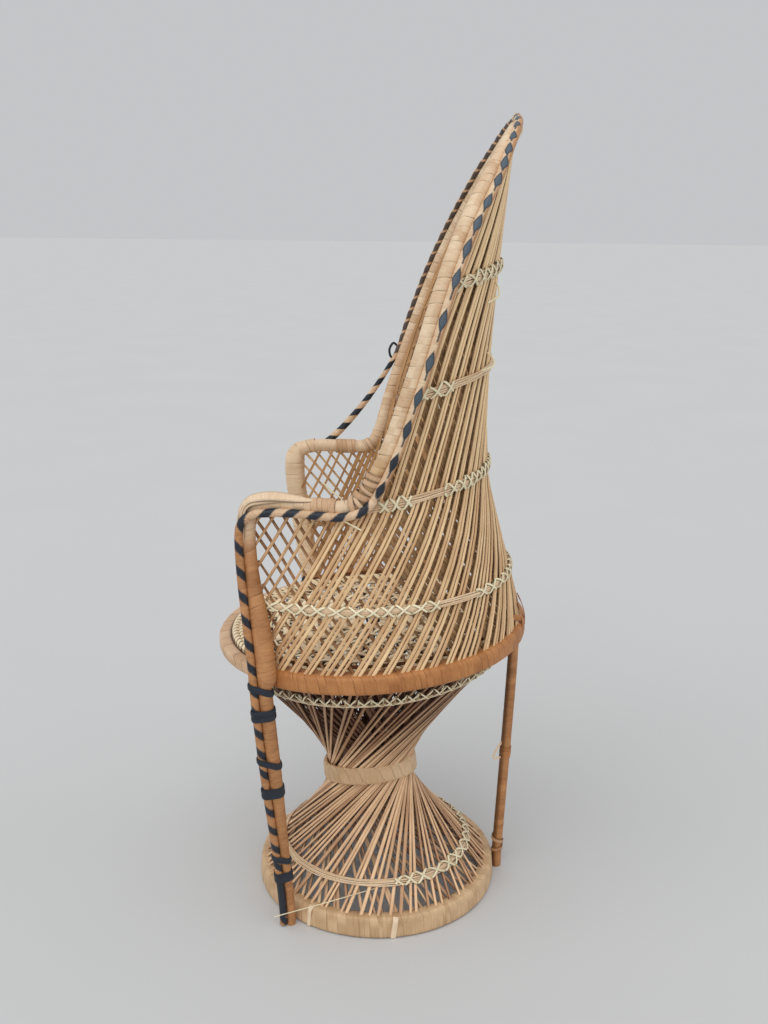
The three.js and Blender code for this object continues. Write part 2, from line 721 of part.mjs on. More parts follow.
// Distance from the weave's axis to its edge at arm height, along the arc or the arm
function armReach(turn) {
  if (Math.abs(turn) < armEndTurn) return armCircle.radius;
  const slope = (armEndX - cornerX) / (armEndY - cornerY);
  const across = Math.sin(rad(Math.abs(turn))) - slope * Math.cos(rad(turn));
  return (armEndX + slope * (armCircle.centre - armEndY)) / across;
}

const seatEdge = (turn) => onSeat(seatStakeRadius, 180 - turn, 0).z;

function backPoint(turn, z, inset) {
  let radius = 0;
  let centre = 0;
  if (z < armHeight) {
    const rise = (z - seatEdge(turn)) / (armHeight - seatEdge(turn));
    radius = lerp(seatStakeRadius, armReach(turn), rise);
    centre = lerp(seatSetback, armCircle.centre, rise);
  } else {
    ({ radius, centre } = upperCircle(z));
  }
  const reach = radius - inset;
  const point = new THREE.Vector3(reach * Math.sin(rad(turn)), centre + reach * Math.cos(rad(turn)), z);
  return point.applyAxisAngle(upright, rad(backTwist(z)));
}

function edgeTurn(z) {
  if (z < armHeight) return lerp(180 - postAngle, cornerTurn, (z - seatHeight) / (armHeight - seatHeight));
  return deg(Math.atan2(rimHalf(z), rimY(z) - upperCircle(z).centre));
}

const sweep = (z) =>
  360 * ((Math.min(z, armHeight) - seatHeight) / lowLay + Math.max(0, z - armHeight) / highLay);

// Heights where every stake has a knee, shared by both layers so that they keep their distance
const rowHeights = upperRows.map((row) => row.height);
const weaveLevels = [
  firstRowHeight, (firstRowHeight + armHeight) / 2, armHeight, ...rowHeights.slice(1),
  (rowHeights.at(-1) + archPeak) / 2,
];

// One back stake, from hoop or post up to post, arm or arch. The outer layer turns towards the left
// as it rises, the inner layer is its mirror image.
function backStake(layer, number) {
  const hand = layer === 0 ? 1 : -1;
  const spread = 180 - postAngle;
  const start = -spread + ((number + 0.5) * (2 * spread + sweep(armHeight))) / backStakes;
  const turnAt = (z) => hand * (start - sweep(z));
  const footAt = (turn) => onSeat(seatStakeRadius - layerPitch * layer, 180 - turn + postTwist, stakeFoot);
  const inside = (z) => z >= footAt(turnAt(z)).z && Math.abs(turnAt(z)) <= edgeTurn(z);
  let low = seatHeight - seatBand;
  while (!inside(low)) low += 1;
  let high = low;
  while (high < archPeak - 1 && inside(high + 1)) high += 1;
  const onHoop = Math.abs(turnAt(low)) < edgeTurn(low) - 1;
  const knees = weaveLevels.filter((z) => z > low + kneeSpacing && z < high - kneeSpacing);
  const heights = [low, ...knees, high];
  const stops = heights.map((z, i) => {
    const point = i === 0 && onHoop ? footAt(turnAt(z)) : backPoint(turnAt(z), z, layerPitch * layer);
    return { point, normal: backNormal(turnAt(z), z) };
  });
  return { low, high, hand, onHoop, stops, turnAt };
}

function backNormal(turn, z) {
  const round = backPoint(turn + 1, z, 0).sub(backPoint(turn - 1, z, 0));
  const rise = backPoint(turn, Math.min(z + 2, archPeak - 1), 0).sub(backPoint(turn, z - 2, 0));
  const out = round.cross(rise).normalize();
  return out.dot(new THREE.Vector3(Math.sin(rad(turn)), Math.cos(rad(turn)), 0)) < 0 ? out.negate() : out;
}

const stakeLayers = [0, 1].map((layer) =>
  Array.from({ length: backStakes }, (_, number) => backStake(layer, number)));

function stakeStrip({ stops, onHoop }, extra = 0) {
  const seatUp = new THREE.Vector3(0, 0, 1).transformDirection(seatFrame);
  const floor = new THREE.Plane().setFromNormalAndCoplanarPoint(seatUp, onSeat(0, 0, stakeFoot));
  const path = stops.map((stop) => stop.point);
  const normals = stops.map((stop) => stop.normal);
  const planes = onHoop ? [floor] : [];
  return strip(path, normals, stakeWidth + 2 * extra, stakeThickness + 2 * extra, false, planes);
}

// Stakes that start on a post above the first row are carried by that post and its arm
function shortStakes(side) {
  const layer = side > 0 ? 0 : 1;
  const line = armCurve(side).getSpacedPoints(curveSamples);
  const sunk = (point) => {
    const core = nearestOn(line, point);
    return point.clone().sub(core).clampLength(0, poleRadius / 2).add(core);
  };
  const short = stakeLayers[layer].filter((stake) => stake.low > firstRowHeight - kneeSpacing);
  return short.map(({ stops, onHoop }) => stakeStrip({
    onHoop,
    stops: stops.map((stop, i) =>
      i === 0 || i === stops.length - 1 ? { ...stop, point: sunk(stop.point) } : stop),
  }));
}

// What is left of a short stake beside its neighbours: the piece on the post stops under the arm
function carriedPieces(stake, neighbours, armSleeve) {
  const lowest = (piece) => piece.boundingBox().min[2];
  const pieces = cutBack(toSolid(stake), neighbours).decompose().sort((a, b) => lowest(a) - lowest(b));
  return [cutBack(pieces[0], [armSleeve]), ...pieces.slice(1)];
}

// How far the stakes, straight between their knees, stand out from the hollow line of the weave
function standOut(z) {
  const below = weaveLevels.filter((level) => level <= z).at(-1);
  const above = weaveLevels.find((level) => level > z);
  const chord = lerp(rearY(below), rearY(above), (z - below) / (above - below));
  return Math.max(0, chord - rearY(z));
}

function buildBack() {
  const bindings = sides.map(([side]) => bandRoom(jointPlace(side), jointBinding));
  const neighbours = [...polePieces(clearance), ...rodPieces(clearance), ...bindings];
  for (const [layer, name] of ['back_outer_stakes', 'back_inner_stakes'].entries()) {
    const long = stakeLayers[layer].filter(({ low, high }) =>
      low <= firstRowHeight - kneeSpacing && high > firstRowHeight + kneeSpacing);
    const turns = long.map((stake) => stake.turnAt(firstRowHeight));
    const edge = edgeTurn(firstRowHeight);
    const stops = [-edge, ...turns, edge].sort((a, b) => a - b).map((turn) => ({
      point: backPoint(turn, firstRowHeight, layerPitch * layer),
      normal: backNormal(turn, firstRowHeight),
    }));
    const row = twinedRow(stops, layer === 0 ? 1 : -1, false);
    add(name, trim(join([row, ...long.map((stake) => stakeStrip(stake))]), neighbours), straw);
  }
  for (const { name, height, slope } of upperRows) {
    const edge = edgeTurn(height);
    const middle = (rimY(height) + rearY(height)) / 2;
    const bow = upperCircle(height).radius * (1 - Math.cos(rad(edge / rowSteps)));
    const offset = -(stakeThickness / 2 + reedThickness / 2 + 2 * clearance + bow + standOut(height));
    const turns = Array.from({ length: rowSteps + 1 }, (_, i) => lerp(-edge, edge, i / rowSteps));
    const stops = turns.map((turn) => {
      const z = height + slope * (backPoint(turn, height, 0).y - middle);
      return { point: backPoint(turn, z, offset), normal: backNormal(turn, z) };
    });
    const ribbon = strip(stops.map((s) => s.point), stops.map((s) => s.normal), reedWidth, reedThickness);
    add(name, trim(toSolid(ribbon), neighbours), paleReed);
  }
}

buildBase();
buildPedestal();
buildSeat();
buildFrame();
buildRearLeg();
buildBack();

// The origin is on the floor, under the middle of the whole chair
chair.updateMatrixWorld(true);
const bounds = new THREE.Box3().setFromObject(chair, true);
const middle = bounds.getCenter(new THREE.Vector3());
chair.position.set(-middle.x, -middle.y, -bounds.min.z);

export default chair;
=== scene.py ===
"""Child's peacock chair: wrapped rattan frame, woven hourglass pedestal, woven seat and back.

Lengths are metres and angles degrees. The sitter faces -Y. Angles are counted from the front towards
+X, turns from the rear towards +X. Shapes are worked out round the pedestal's axis, which AXIS places.
"""

import bmesh
import bpy
import numpy as np
from mathutils import Matrix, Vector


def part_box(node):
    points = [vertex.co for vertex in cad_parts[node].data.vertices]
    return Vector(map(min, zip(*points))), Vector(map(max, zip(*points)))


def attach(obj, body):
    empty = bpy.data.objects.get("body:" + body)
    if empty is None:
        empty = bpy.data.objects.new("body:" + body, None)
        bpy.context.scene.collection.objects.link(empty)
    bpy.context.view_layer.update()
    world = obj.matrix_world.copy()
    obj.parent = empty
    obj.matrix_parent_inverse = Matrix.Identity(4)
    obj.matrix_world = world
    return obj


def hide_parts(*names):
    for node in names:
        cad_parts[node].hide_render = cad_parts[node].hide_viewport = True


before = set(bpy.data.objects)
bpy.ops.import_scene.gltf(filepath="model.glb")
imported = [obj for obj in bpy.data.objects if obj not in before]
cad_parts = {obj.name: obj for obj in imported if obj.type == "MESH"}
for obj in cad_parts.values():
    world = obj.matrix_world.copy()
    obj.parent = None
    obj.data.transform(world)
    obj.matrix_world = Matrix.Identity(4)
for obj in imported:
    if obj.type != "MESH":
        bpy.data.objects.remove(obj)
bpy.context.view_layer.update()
hoop_low, hoop_high = np.array(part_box("base_hoop"))
AXIS = (hoop_low + hoop_high) / 2 * (1, 1, 0)

# Stock
POLE_RADIUS = 0.007
ROD_RADIUS = 0.004
LEG_RADIUS = 0.0055
CLEARANCE = 0.0003
WRAP_LIFT = 0.0004
STAKE_THICKNESS = 0.0016
STRAP_THICKNESS = 0.0014
BAND_THICKNESS = 0.0011
SPLIT_THICKNESS = 0.0010
LAYER_PITCH = 0.0042
SLANTED_PITCH = 1.4 * LAYER_PITCH
ROD_GAP = -0.0003
LINE_STEP = 0.0015

# Widths of the cane strips wound round poles and hoops
LEG_STRIP = 0.0052
ARM_STRIP = 0.012
POST_STRIP = 0.008
ARCH_STRIP = 0.0085
ROD_STRIP = 0.0042
JOINT_STRIP = 0.006
REAR_LEG_STRIP = 0.0065
LASHING_STRIP = 0.003
BASE_STRIP = 0.0085
WAIST_STRIP = 0.0115
SEAT_REAR_STRIP = 0.0075
SEAT_FRONT_STRIP = 0.022

# Base hoop and waist
BASE_RADIUS = 0.130
BASE_INNER = 0.1149
BASE_HEIGHT = 0.023
BASE_DROP = 0.010
PEDESTAL_FOOT = 0.0180
FOOT_CIRCLE = 0.1262
WAIST_CIRCLE = 0.0442
WAIST_HEIGHT = 0.130
WAIST_BAND = 0.0180
WAIST_BAND_HALF = 0.0024
WAIST_RING = 0.0488
WAIST_TILT = 6.0
WAIST_ROLL = 12.0

# Seat hoop: height at its middle, tilted up to the rear
SEAT_RADIUS = 0.1615
SEAT_INNER = 0.1398
SEAT_BAND = 0.0192
SEAT_DROP = 0.013
SEAT_HEIGHT = 0.2935
SEAT_SETBACK = -0.008
SEAT_TILT = 3.9
SEAT_STAKE_CIRCLE = 0.1581
HEAD_CIRCLE = 0.1491
SEAT_LEVEL = 0.003
STAKE_FOOT = 0.002
WAIST_SHIFT = -0.005
WAIST_SETBACK = SEAT_SETBACK * WAIST_HEIGHT / SEAT_HEIGHT + WAIST_SHIFT

# Seat weave
SEAT_STRIPS = 48
HUB_RADIUS = 0.010
SHORT_STRIP_START = 0.052
FIRST_RING = 0.020
RING_SPACING = 0.0101
RING_WIDTH = 0.0068
RING_THICKNESS = 0.0013
RING_WAVE = 0.0019
RINGS_PER_PIECE = 4
SEAT_STRIP_WIDTHS = (0.004, 0.0055)

# Rope border of the seat: radius and height over the seat's level of each round, and the rope's own sizes
BORDER_ROUNDS = ((0.1432, 0.0036), (0.1370, 0.0024))
ROPE_PITCH = 0.0165
ROPE_RADIUS = 0.0031
ROPE_WIDTH = 0.0050
ROPE_THICKNESS = 0.0018

# Front legs, posts and arms. A leg has the foot share of its radius up to the taper's start
FOOT_SHARE = 0.64
TAPER_START = 0.05
TAPER_HEIGHT = 0.16
FOOT_ANGLE = 60.3
FOOT_TWIST = -10.8
REAR_FOOT_TWIST = 1.9
POST_ANGLE = 59.1
POST_TWIST = -6.0
POST_REACH = 0.019
CORNER_X = 0.1285
CORNER_Y = -0.112
CORNER_TWIST = -6.1
ARM_HEIGHT = 0.457
ARM_END_X = 0.138
ARM_END_Y = -0.013
ARM_TWIST = -2.6
ARM_JOINT = 0.034
CORNER_RADIUS = 0.024
BEND_RADIUS = 0.016

# Back arch and the rear line of the weave
ARCH_WIDTH = 0.280
ARCH_SHOULDER = 0.600
ARCH_PEAK = 0.792
ARCH_LEAN = 0.33
ARCH_CURL_RADIUS = 0.575
ARCH_CURL_START = 0.620
ARCH_ROUNDNESS = 1.75
RIGHT_SETBACK = 0.0045
BACK_WAIST_Y = 0.105
BACK_WAIST_HEIGHT = 0.534
BACK_WAIST_TWIST = -1.3
ARCH_TWIST = -3.4
ARM_REAR_Y = 0.1085
REAR_SWEEP = 1.5
LOW_LAY = 1.440
HIGH_LAY = 2.118

# Weave of pedestal and back
PEDESTAL_STAKES = 72
PEDESTAL_STAKE_WIDTHS = (0.0026, 0.0038)
PEDESTAL_WANDER = 0.00035
BACK_PAIRS = 54
BACK_STAKE_WIDTHS = (0.0026, 0.0036)
BACK_WANDER = 0.0003
PAIR_GAPS = (0.0001, 0.0008)
ROW_STAND = 0.0021
LOWER_ROW_HEIGHT = 0.045
UPPER_ROW_DROP = 0.0205

# Twined rows of the back: number, height, slope towards the rear, lashed shares of the length, weave
BACK_ROWS = (
    (1, 0.364, 0.03, ((0.0, 0.66), (0.73, 1.0)),
     {"rise": 0.0044, "reeds": (-0.0021, -0.0007, 0.0007, 0.0021), "reed": 0.0008, "width": 0.0020}),
    (2, 0.466, 0.14, ((0.0, 0.80), (0.89, 0.97)), {"pitch": 0.0118, "rise": 0.0056}),
    (3, 0.566, 0.19, ((0.0, 0.5), (0.85, 1.0)), {}),
    (4, 0.661, 0.26, ((0.0, 0.55), (0.60, 0.95)), {}),
)

# Bands on the front legs: flat ones round pole and rod, tilted ones between them
FLAT_BANDS = (0.062, 0.166, 0.253)
FLAT_BAND_WIDTH = 0.0118
TILTED_BANDS = (0.082, 0.198, 0.278)
TILTED_BAND_WIDTH = 0.0068
TILTED_BAND_LEAN = 0.45

# Joints: the binding's reach along the arm, and lengths along the arch at which wraps have loosened.
# Rear leg: height and bulge of its loosened wraps, and its lashing's height and length
JOINT_REACH = (-0.010, 0.012)
ARCH_BOWS = (0.030, 0.037, 0.043, 0.050, 0.057, 0.064)
REAR_BOWS = ((0.022, 0.0008), (0.034, 0.0018))
REAR_BOW_WIDTH = 0.0042
REAR_LASHING_HEIGHT = 0.143
REAR_LASHING = 0.013

# Striped rods: pitch of the strip on post and arm, pitch of the twist on the back, heights of the black
# foot, height at which the left rod meets the arch, and the lozenges' lengths from the top end
SPIRAL_PITCH = 0.0228
TWIST_PITCH = 0.0135
BLACK_FOOT = (0.010, 0.055)
LEFT_ROD_MEETS = 0.560
LEFT_ROD_THINNING = 0.30
BEAD = 0.09
LOZENGES = np.array([0.012, 0.0286, 0.045, 0.065, 0.0835, 0.100, 0.119, 0.143, 0.1655,
                     0.1895, 0.217, 0.253, 0.290, 0.322, 0.352, 0.384, 0.412])


def lerp(a, b, t):
    return a + (b - a) * t


def smooth(t):
    """Smooth step: 0 below 0, 1 above 1, a cubic between."""
    t = np.clip(t, 0, 1)
    return t * t * (3 - 2 * t)


def rising(x, start, span):
    """0 up to start, 1 past start + span, smooth between."""
    return smooth((x - start) / span)


def falling(x, end, span):
    """1 up to end - span, 0 past end, smooth between."""
    return smooth((end - x) / span)


def unit(vectors):
    return vectors / np.maximum(np.linalg.norm(vectors, axis=-1, keepdims=True), 1e-12)


def dot(a, b):
    return np.sum(a * b, axis=-1, keepdims=True)


def polar(radius, angle, height):
    """Point at a radius from the axis, at an angle from the front towards +X, and at a height."""
    a = np.radians(angle)
    return np.stack(np.broadcast_arrays(radius * np.sin(a), -radius * np.cos(a), height), axis=-1)


def tilted(points, angle, y, z):
    """Points turned about X, then moved by y and z."""
    c, s = np.cos(np.radians(angle)), np.sin(np.radians(angle))
    px, py, pz = np.moveaxis(np.asarray(points), -1, 0)
    return np.stack([px, py * c - pz * s + y, py * s + pz * c + z], axis=-1)


def turned(points, angle):
    """Points turned about Z."""
    c, s = np.cos(np.radians(angle)), np.sin(np.radians(angle))
    px, py, pz = np.moveaxis(np.asarray(points), -1, 0)
    return np.stack([px * c - py * s, px * s + py * c, pz], axis=-1)


def at_seat(points):
    """Points tilted and moved to the seat's place."""
    return tilted(points, SEAT_TILT, SEAT_SETBACK, SEAT_HEIGHT)


def on_seat(radius, angle, height):
    """Point in the seat's tilted frame."""
    return at_seat(polar(radius, angle, height))


SEAT_UP = tilted(np.array([0.0, 0.0, 1.0]), SEAT_TILT, 0, 0)


# Lines and surfaces

def read_between(at, knots, rows):
    """Rows of three values, read in proportion between the knots that they belong to."""
    return np.stack([np.interp(at, knots, rows[:, k]) for k in range(3)], axis=-1)


def arc_length(line):
    """Length along a polyline up to each of its points."""
    return np.concatenate([[0], np.cumsum(np.linalg.norm(np.diff(line, axis=0), axis=1))])


def spaced(line, spacing):
    """A polyline's points taken again at even lengths."""
    run = arc_length(line)
    even = np.linspace(0, run[-1], max(2, int(round(run[-1] / spacing)) + 1))
    return read_between(even, run, line)


def through(points, per_span=24):
    """Centripetal Catmull-Rom curve: cubic spans whose end slopes weigh the neighbouring chords by the
    square roots of their lengths."""
    p = np.asarray(points, float)
    ends = np.vstack([2 * p[:1] - p[1:2], p, 2 * p[-1:] - p[-2:-1]])
    step = np.sqrt(np.maximum(np.linalg.norm(np.diff(ends, axis=0), axis=1), 1e-9))
    d0, d1, d2 = step[:-2, None], step[1:-1, None], step[2:, None]
    a, b, c, d = ends[:-3], ends[1:-2], ends[2:-1], ends[3:]
    leave = ((b - a) / d0 - (c - a) / (d0 + d1) + (c - b) / d1) * d1
    arrive = ((c - b) / d1 - (d - b) / (d1 + d2) + (d - c) / d2) * d1
    u = np.linspace(0, 1, per_span, endpoint=False)[:, None, None]
    spans = ((2 * u**3 - 3 * u**2 + 1) * b + (u**3 - 2 * u**2 + u) * leave
             + (3 * u**2 - 2 * u**3) * c + (u**3 - u**2) * arrive)
    return np.vstack([spans.transpose(1, 0, 2).reshape(-1, 3), p[-1:]])


def slopes(paths, closed=False):
    """Unit directions along rows of points."""
    if closed:
        return unit(np.roll(paths, -1, axis=-2) - np.roll(paths, 1, axis=-2))
    return unit(np.gradient(paths, axis=-2))


def nearest_to(line, point):
    """Number of the polyline's point that lies nearest to a point."""
    return np.argmin(np.linalg.norm(line - point, axis=1))


def put(name, data):
    """A new object in the scene."""
    made = bpy.data.objects.new(name, data)
    bpy.context.scene.collection.objects.link(made)
    return made


MERGE_DISTANCE = 2e-6
SLIVER = 1e-6
SHARP_ANGLE = 50.0


class Skin:
    """Points, faces and per-point values of one piece, gathered before they go into a mesh.

    tone is a strand's shade from dark to light, seam is dark in a groove and also holds painted shade
    between and under strands, black is dyed cane, above 1 where a painted sky reflection lightens the
    dye, and pale is cane bleached by the weather."""

    def __init__(self):
        self.points, self.faces, self.corners = [], [], []
        self.values = {"tone": [], "seam": [], "black": [], "pale": []}
        self.count = 0

    def add(self, points, faces, corners, tone=0.5, seam=0.0, black=0.0, pale=0.0):
        """Take over a point array, lists of face index arrays and of their texture corners."""
        shape = points.shape[:-1]
        self.points.append(points.reshape(-1, 3))
        self.faces += [f.reshape(-1, f.shape[-1]) + self.count for f in faces]
        self.corners += [c.reshape(-1, 2) for c in corners]
        for name, value in (("tone", tone), ("seam", seam), ("black", black), ("pale", pale)):
            self.values[name].append(np.broadcast_to(value, shape).reshape(-1))
        self.count += self.points[-1].shape[0]

    def piece(self, name, material, slot, nodes=()):
        """Put everything into one mesh object that rides on the chair and stands for the given nodes."""
        points = np.vstack(self.points) + AXIS
        faces = [face for block in self.faces for face in block.tolist()]
        mesh = bpy.data.meshes.new(name)
        mesh.from_pydata(points.tolist(), [], faces)
        layer = mesh.uv_layers.new(name="UVMap")
        layer.data.foreach_set("uv", np.vstack(self.corners).astype(np.float32).ravel())
        for key, blocks in self.values.items():
            attribute = mesh.attributes.new(key, "FLOAT", "POINT")
            attribute.data.foreach_set("value", np.concatenate(blocks).astype(np.float32))
        shell = bmesh.new()
        shell.from_mesh(mesh)
        bmesh.ops.remove_doubles(shell, verts=shell.verts, dist=MERGE_DISTANCE)
        bmesh.ops.dissolve_degenerate(shell, edges=shell.edges, dist=SLIVER)
        shell.to_mesh(mesh)
        shell.free()
        mesh.shade_smooth()
        mesh.set_sharp_from_angle(angle=np.radians(SHARP_ANGLE))
        mesh.materials.append(material)
        piece = put(name, mesh)
        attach(piece, "root")
        if nodes:
            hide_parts(*nodes)


def sweep_sections(skin, paths, normals, section, closed=False, **values):
    """Sections carried along paths: a corner (a, b) lies at path + a·across + b·normal, where across is
    normal x direction. paths is one path (m, 3) or several (k, m, 3), and section is (..., c, 2)."""
    paths = paths.reshape(-1, *paths.shape[-2:])
    along = slopes(paths, closed)
    across = unit(np.cross(np.broadcast_to(normals, paths.shape), along))
    up = np.cross(along, across)
    section = np.broadcast_to(section, paths.shape[:2] + section.shape[-2:])
    points = paths[:, :, None] + across[:, :, None] * section[..., 0:1] + up[:, :, None] * section[..., 1:2]
    k, m, c = points.shape[:3]
    whole = np.arange(k * m * c).reshape(k, m, c)
    here, beside = whole, np.roll(whole, -1, axis=2)
    if closed:
        ahead, ahead_beside = np.roll(here, -1, axis=1), np.roll(beside, -1, axis=1)
    else:
        here, ahead = here[:, :-1], here[:, 1:]
        beside, ahead_beside = beside[:, :-1], beside[:, 1:]
    steps = np.linalg.norm(np.diff(paths, axis=1), axis=-1)
    run = np.concatenate([np.zeros((k, 1)), np.cumsum(steps, axis=1)], axis=1)
    run = np.concatenate([run, run[:, -1:] + steps[:, -1:]], axis=1) if closed else run
    u0, u1 = (np.broadcast_to(u[..., None], here.shape) for u in (run[:, :-1], run[:, 1:]))
    v0 = np.broadcast_to(np.arange(c) / c, here.shape)
    v1 = v0 + 1 / c
    faces = [np.stack([here, beside, ahead_beside, ahead], axis=-1)]
    corners = [np.stack([np.stack([u0, u0, u1, u1], axis=-1), np.stack([v0, v1, v1, v0], axis=-1)], axis=-1)]
    if not closed:
        faces += [whole[:, 0, ::-1], whole[:, -1]]
        corners += [np.zeros((k, c, 2)), np.zeros((k, c, 2))]
    spread = {key: np.reshape(value, np.shape(value) + (1,) * (3 - np.ndim(value)))
              for key, value in values.items()}
    skin.add(points, faces, corners, **spread)


def flat_section(width, thickness):
    """Split cane: flat below, rounded above."""
    corners = np.array([(0.5, -0.5), (0.5, 0.15), (0.27, 0.5), (-0.27, 0.5), (-0.5, 0.15), (-0.5, -0.5)])
    size = np.stack(np.broadcast_arrays(width, thickness), axis=-1)
    return corners * size[..., None, :]


def edge_shade(crown, shoulder, under):
    """Painted shade over the six corners of a split cane, where neighbouring strands and layers shade it: on
    its crown, its shoulders and below.
    """
    parts = np.atleast_2d(under, shoulder, crown, crown, shoulder, under)
    return np.clip(np.stack(np.broadcast_arrays(*parts), axis=-1), 0, 1)


def round_section(radius, sides):
    angle = 2 * np.pi * np.arange(sides) / sides
    return radius * np.stack([np.cos(angle), np.sin(angle)], axis=-1)


def oval_section(half_out, half_up, power, sides):
    """Superellipse: cosine and sine raised to 2/power, half_out along the first axis."""
    circle = round_section(1.0, sides)
    return np.sign(circle) * np.abs(circle) ** (2 / power) * (half_out, half_up)


def band_profile(half_out, half_up, power, sides, drop):
    """Superellipse whose upper side is lowered by up to drop towards the inside."""
    section = oval_section(half_out, half_up, power, sides)
    inward = (1 - section[:, 0] / half_out) / 2
    section[:, 1] -= drop * smooth(1.6 * inward - 0.2) * (section[:, 1] > 0)
    return section


# A wound strip: shares of its width at which rows of points lie, the knots of its seam in a turn, the
# greatest lift of a turn and the dip along every seam, both as shares of the groove
STRIP_ROWS = np.array([0.0, 0.04, 0.2, 0.5, 0.8, 0.96])
SEAM_KNOTS = 6
TURN_LIFT = 0.3
SEAM_DIP = 0.4


def strip_widths(total, width, spread, rng):
    """Strip widths that add up to about a length."""
    count = max(3, int(round(total / width)))
    return width * rng.uniform(1 - spread, 1 + spread, count)


def winding_faces(length, closed):
    """Faces and texture corners of a wound grid: past its last side a row goes on as the row one turn
    further. Faces without length are left out."""
    rows = len(STRIP_ROWS)
    count, sides = length.shape
    index = np.arange(count * sides).reshape(count, sides)
    beside = np.full_like(index, -1)
    beside[:, :-1] = index[:, 1:]
    if closed:
        beside[:, -1] = np.roll(index[:, 0], -rows)
        here, here_beside = index, beside
        ahead, ahead_beside = np.roll(index, -1, axis=0), np.roll(beside, -1, axis=0)
    else:
        beside[:count - rows, -1] = index[rows:, 0]
        here, here_beside, ahead, ahead_beside = index[:-1], beside[:-1], index[1:], beside[1:]
    faces = np.stack([here, here_beside, ahead_beside, ahead], axis=-1)
    u = length.ravel()[faces]
    v = np.broadcast_to(np.arange(sides) / sides, here.shape)
    corners = np.stack([u, np.stack([v, v + 1 / sides, v + 1 / sides, v], axis=-1)], axis=-1)
    real = (faces >= 0).all(axis=-1)
    if not closed:
        real &= np.ptp(u, axis=-1) > 1e-7
    return faces[real], corners[real]


def wound(skin, line, towards, section, widths, rng, groove=0.0003, seams=(0.0, 0.5), closed=False, slant=0.0,
          tone=(0.25, 0.75), black=0.0, pale=0.0, size=None, side_shade=None, firm=None):
    """A strip of cane wound round a path. After t turns a point lies at the length S(t), the sum of the
    strip widths so far, and at the angle of t's fraction. The surface dips along the strip's edges, where
    the seam shows more or less as it runs on. towards is where the angle starts, tone the range of the
    turns' shades, and black and pale are numbers or go by length and angle. size scales the section along
    the path, firm is the least seam of each turn, and stain paints shade on a side."""
    around = (lambda rows: np.vstack([rows, rows[:1]])) if closed else (lambda rows: rows)
    run = arc_length(around(line))
    total = run[-1]
    turns, rows, sides = len(widths), len(STRIP_ROWS), len(section)
    reach = np.concatenate([[0], np.cumsum(widths)]) * total / np.sum(widths)
    row = np.arange(turns * rows) if closed else np.arange(-rows, turns * rows + 1)
    at_seam = (row % rows == 0)[:, None]
    number = np.clip(row // rows, 0, turns - 1)
    share = np.arange(sides) / sides
    turn = (row // rows + STRIP_ROWS[row % rows])[:, None] + share
    laps = np.floor(turn / turns) if closed else 0
    length = np.interp(turn - laps * turns, np.arange(turns + 1), reach) + laps * total
    length = length + slant * np.sin(2 * np.pi * share)
    length = length if closed else np.clip(length, 0, total)

    shown = lerp(*seams, rng.random(SEAM_KNOTS * turns + 1) ** 2.4)
    if firm is not None:
        shown[:-1] = np.maximum(shown[:-1], np.repeat(firm, SEAM_KNOTS))
    shown = np.minimum(shown, 1.0)
    shown[-1] = shown[0]
    knots = np.arange(SEAM_KNOTS * turns + 1) / SEAM_KNOTS
    dark = np.interp(turn % turns if closed else turn, knots, shown) * at_seam
    lift = rng.uniform(-TURN_LIFT, TURN_LIFT, turns)[number][:, None]
    mean = np.mean(np.linalg.norm(section, axis=1))
    scale = 1 + groove * (lift - at_seam * SEAM_DIP - dark) / mean
    scale = (scale if size is None else scale * size(length))[..., None]

    along = slopes(line, closed)
    towards = np.asarray(towards)
    first = unit(towards - along * dot(towards, along))
    second = np.cross(along, first)
    place = length % total if closed else length
    read = lambda values: read_between(place, run, around(values))
    points = read(line) + read(first) * section[:, 0:1] * scale + read(second) * section[:, 1:2] * scale
    faces, corners = winding_faces(length, closed)

    angle = np.broadcast_to(2 * np.pi * share, length.shape)
    given = lambda value, *place: value(*place) if callable(value) else value
    shade = rng.uniform(*tone, turns)[number][:, None]
    # Painted shade on one side of the strip joins the darkness of the seams.
    darkening = dark if side_shade is None else np.maximum(dark, side_shade(length, angle))
    skin.add(points, [faces], [corners], tone=shade, seam=darkening, black=given(black, length, angle),
             pale=given(pale, length, angle))
    if closed:
        return
    for end, order in ((0, -1), (-1, 1)):
        at_end = np.full((1, sides), run[end])
        grown = 1.0 if size is None else size(at_end[0, :1])
        cap = line[end] + grown * (first[end] * section[:, 0:1] + second[end] * section[:, 1:2])
        skin.add(cap, [np.arange(sides)[None, ::order]], [np.zeros((1, sides, 2))], tone=0.4, seam=0.5,
                 black=np.ravel(given(black, at_end, angle[:1])))


# Finishes

def linear(code):
    """Linear colour of an sRGB hex code."""
    value = np.array([int(code[i:i + 2], 16) for i in (1, 3, 5)]) / 255
    return tuple(np.where(value > 0.04045, ((value + 0.055) / 1.055) ** 2.4, value / 12.92)) + (1.0,)


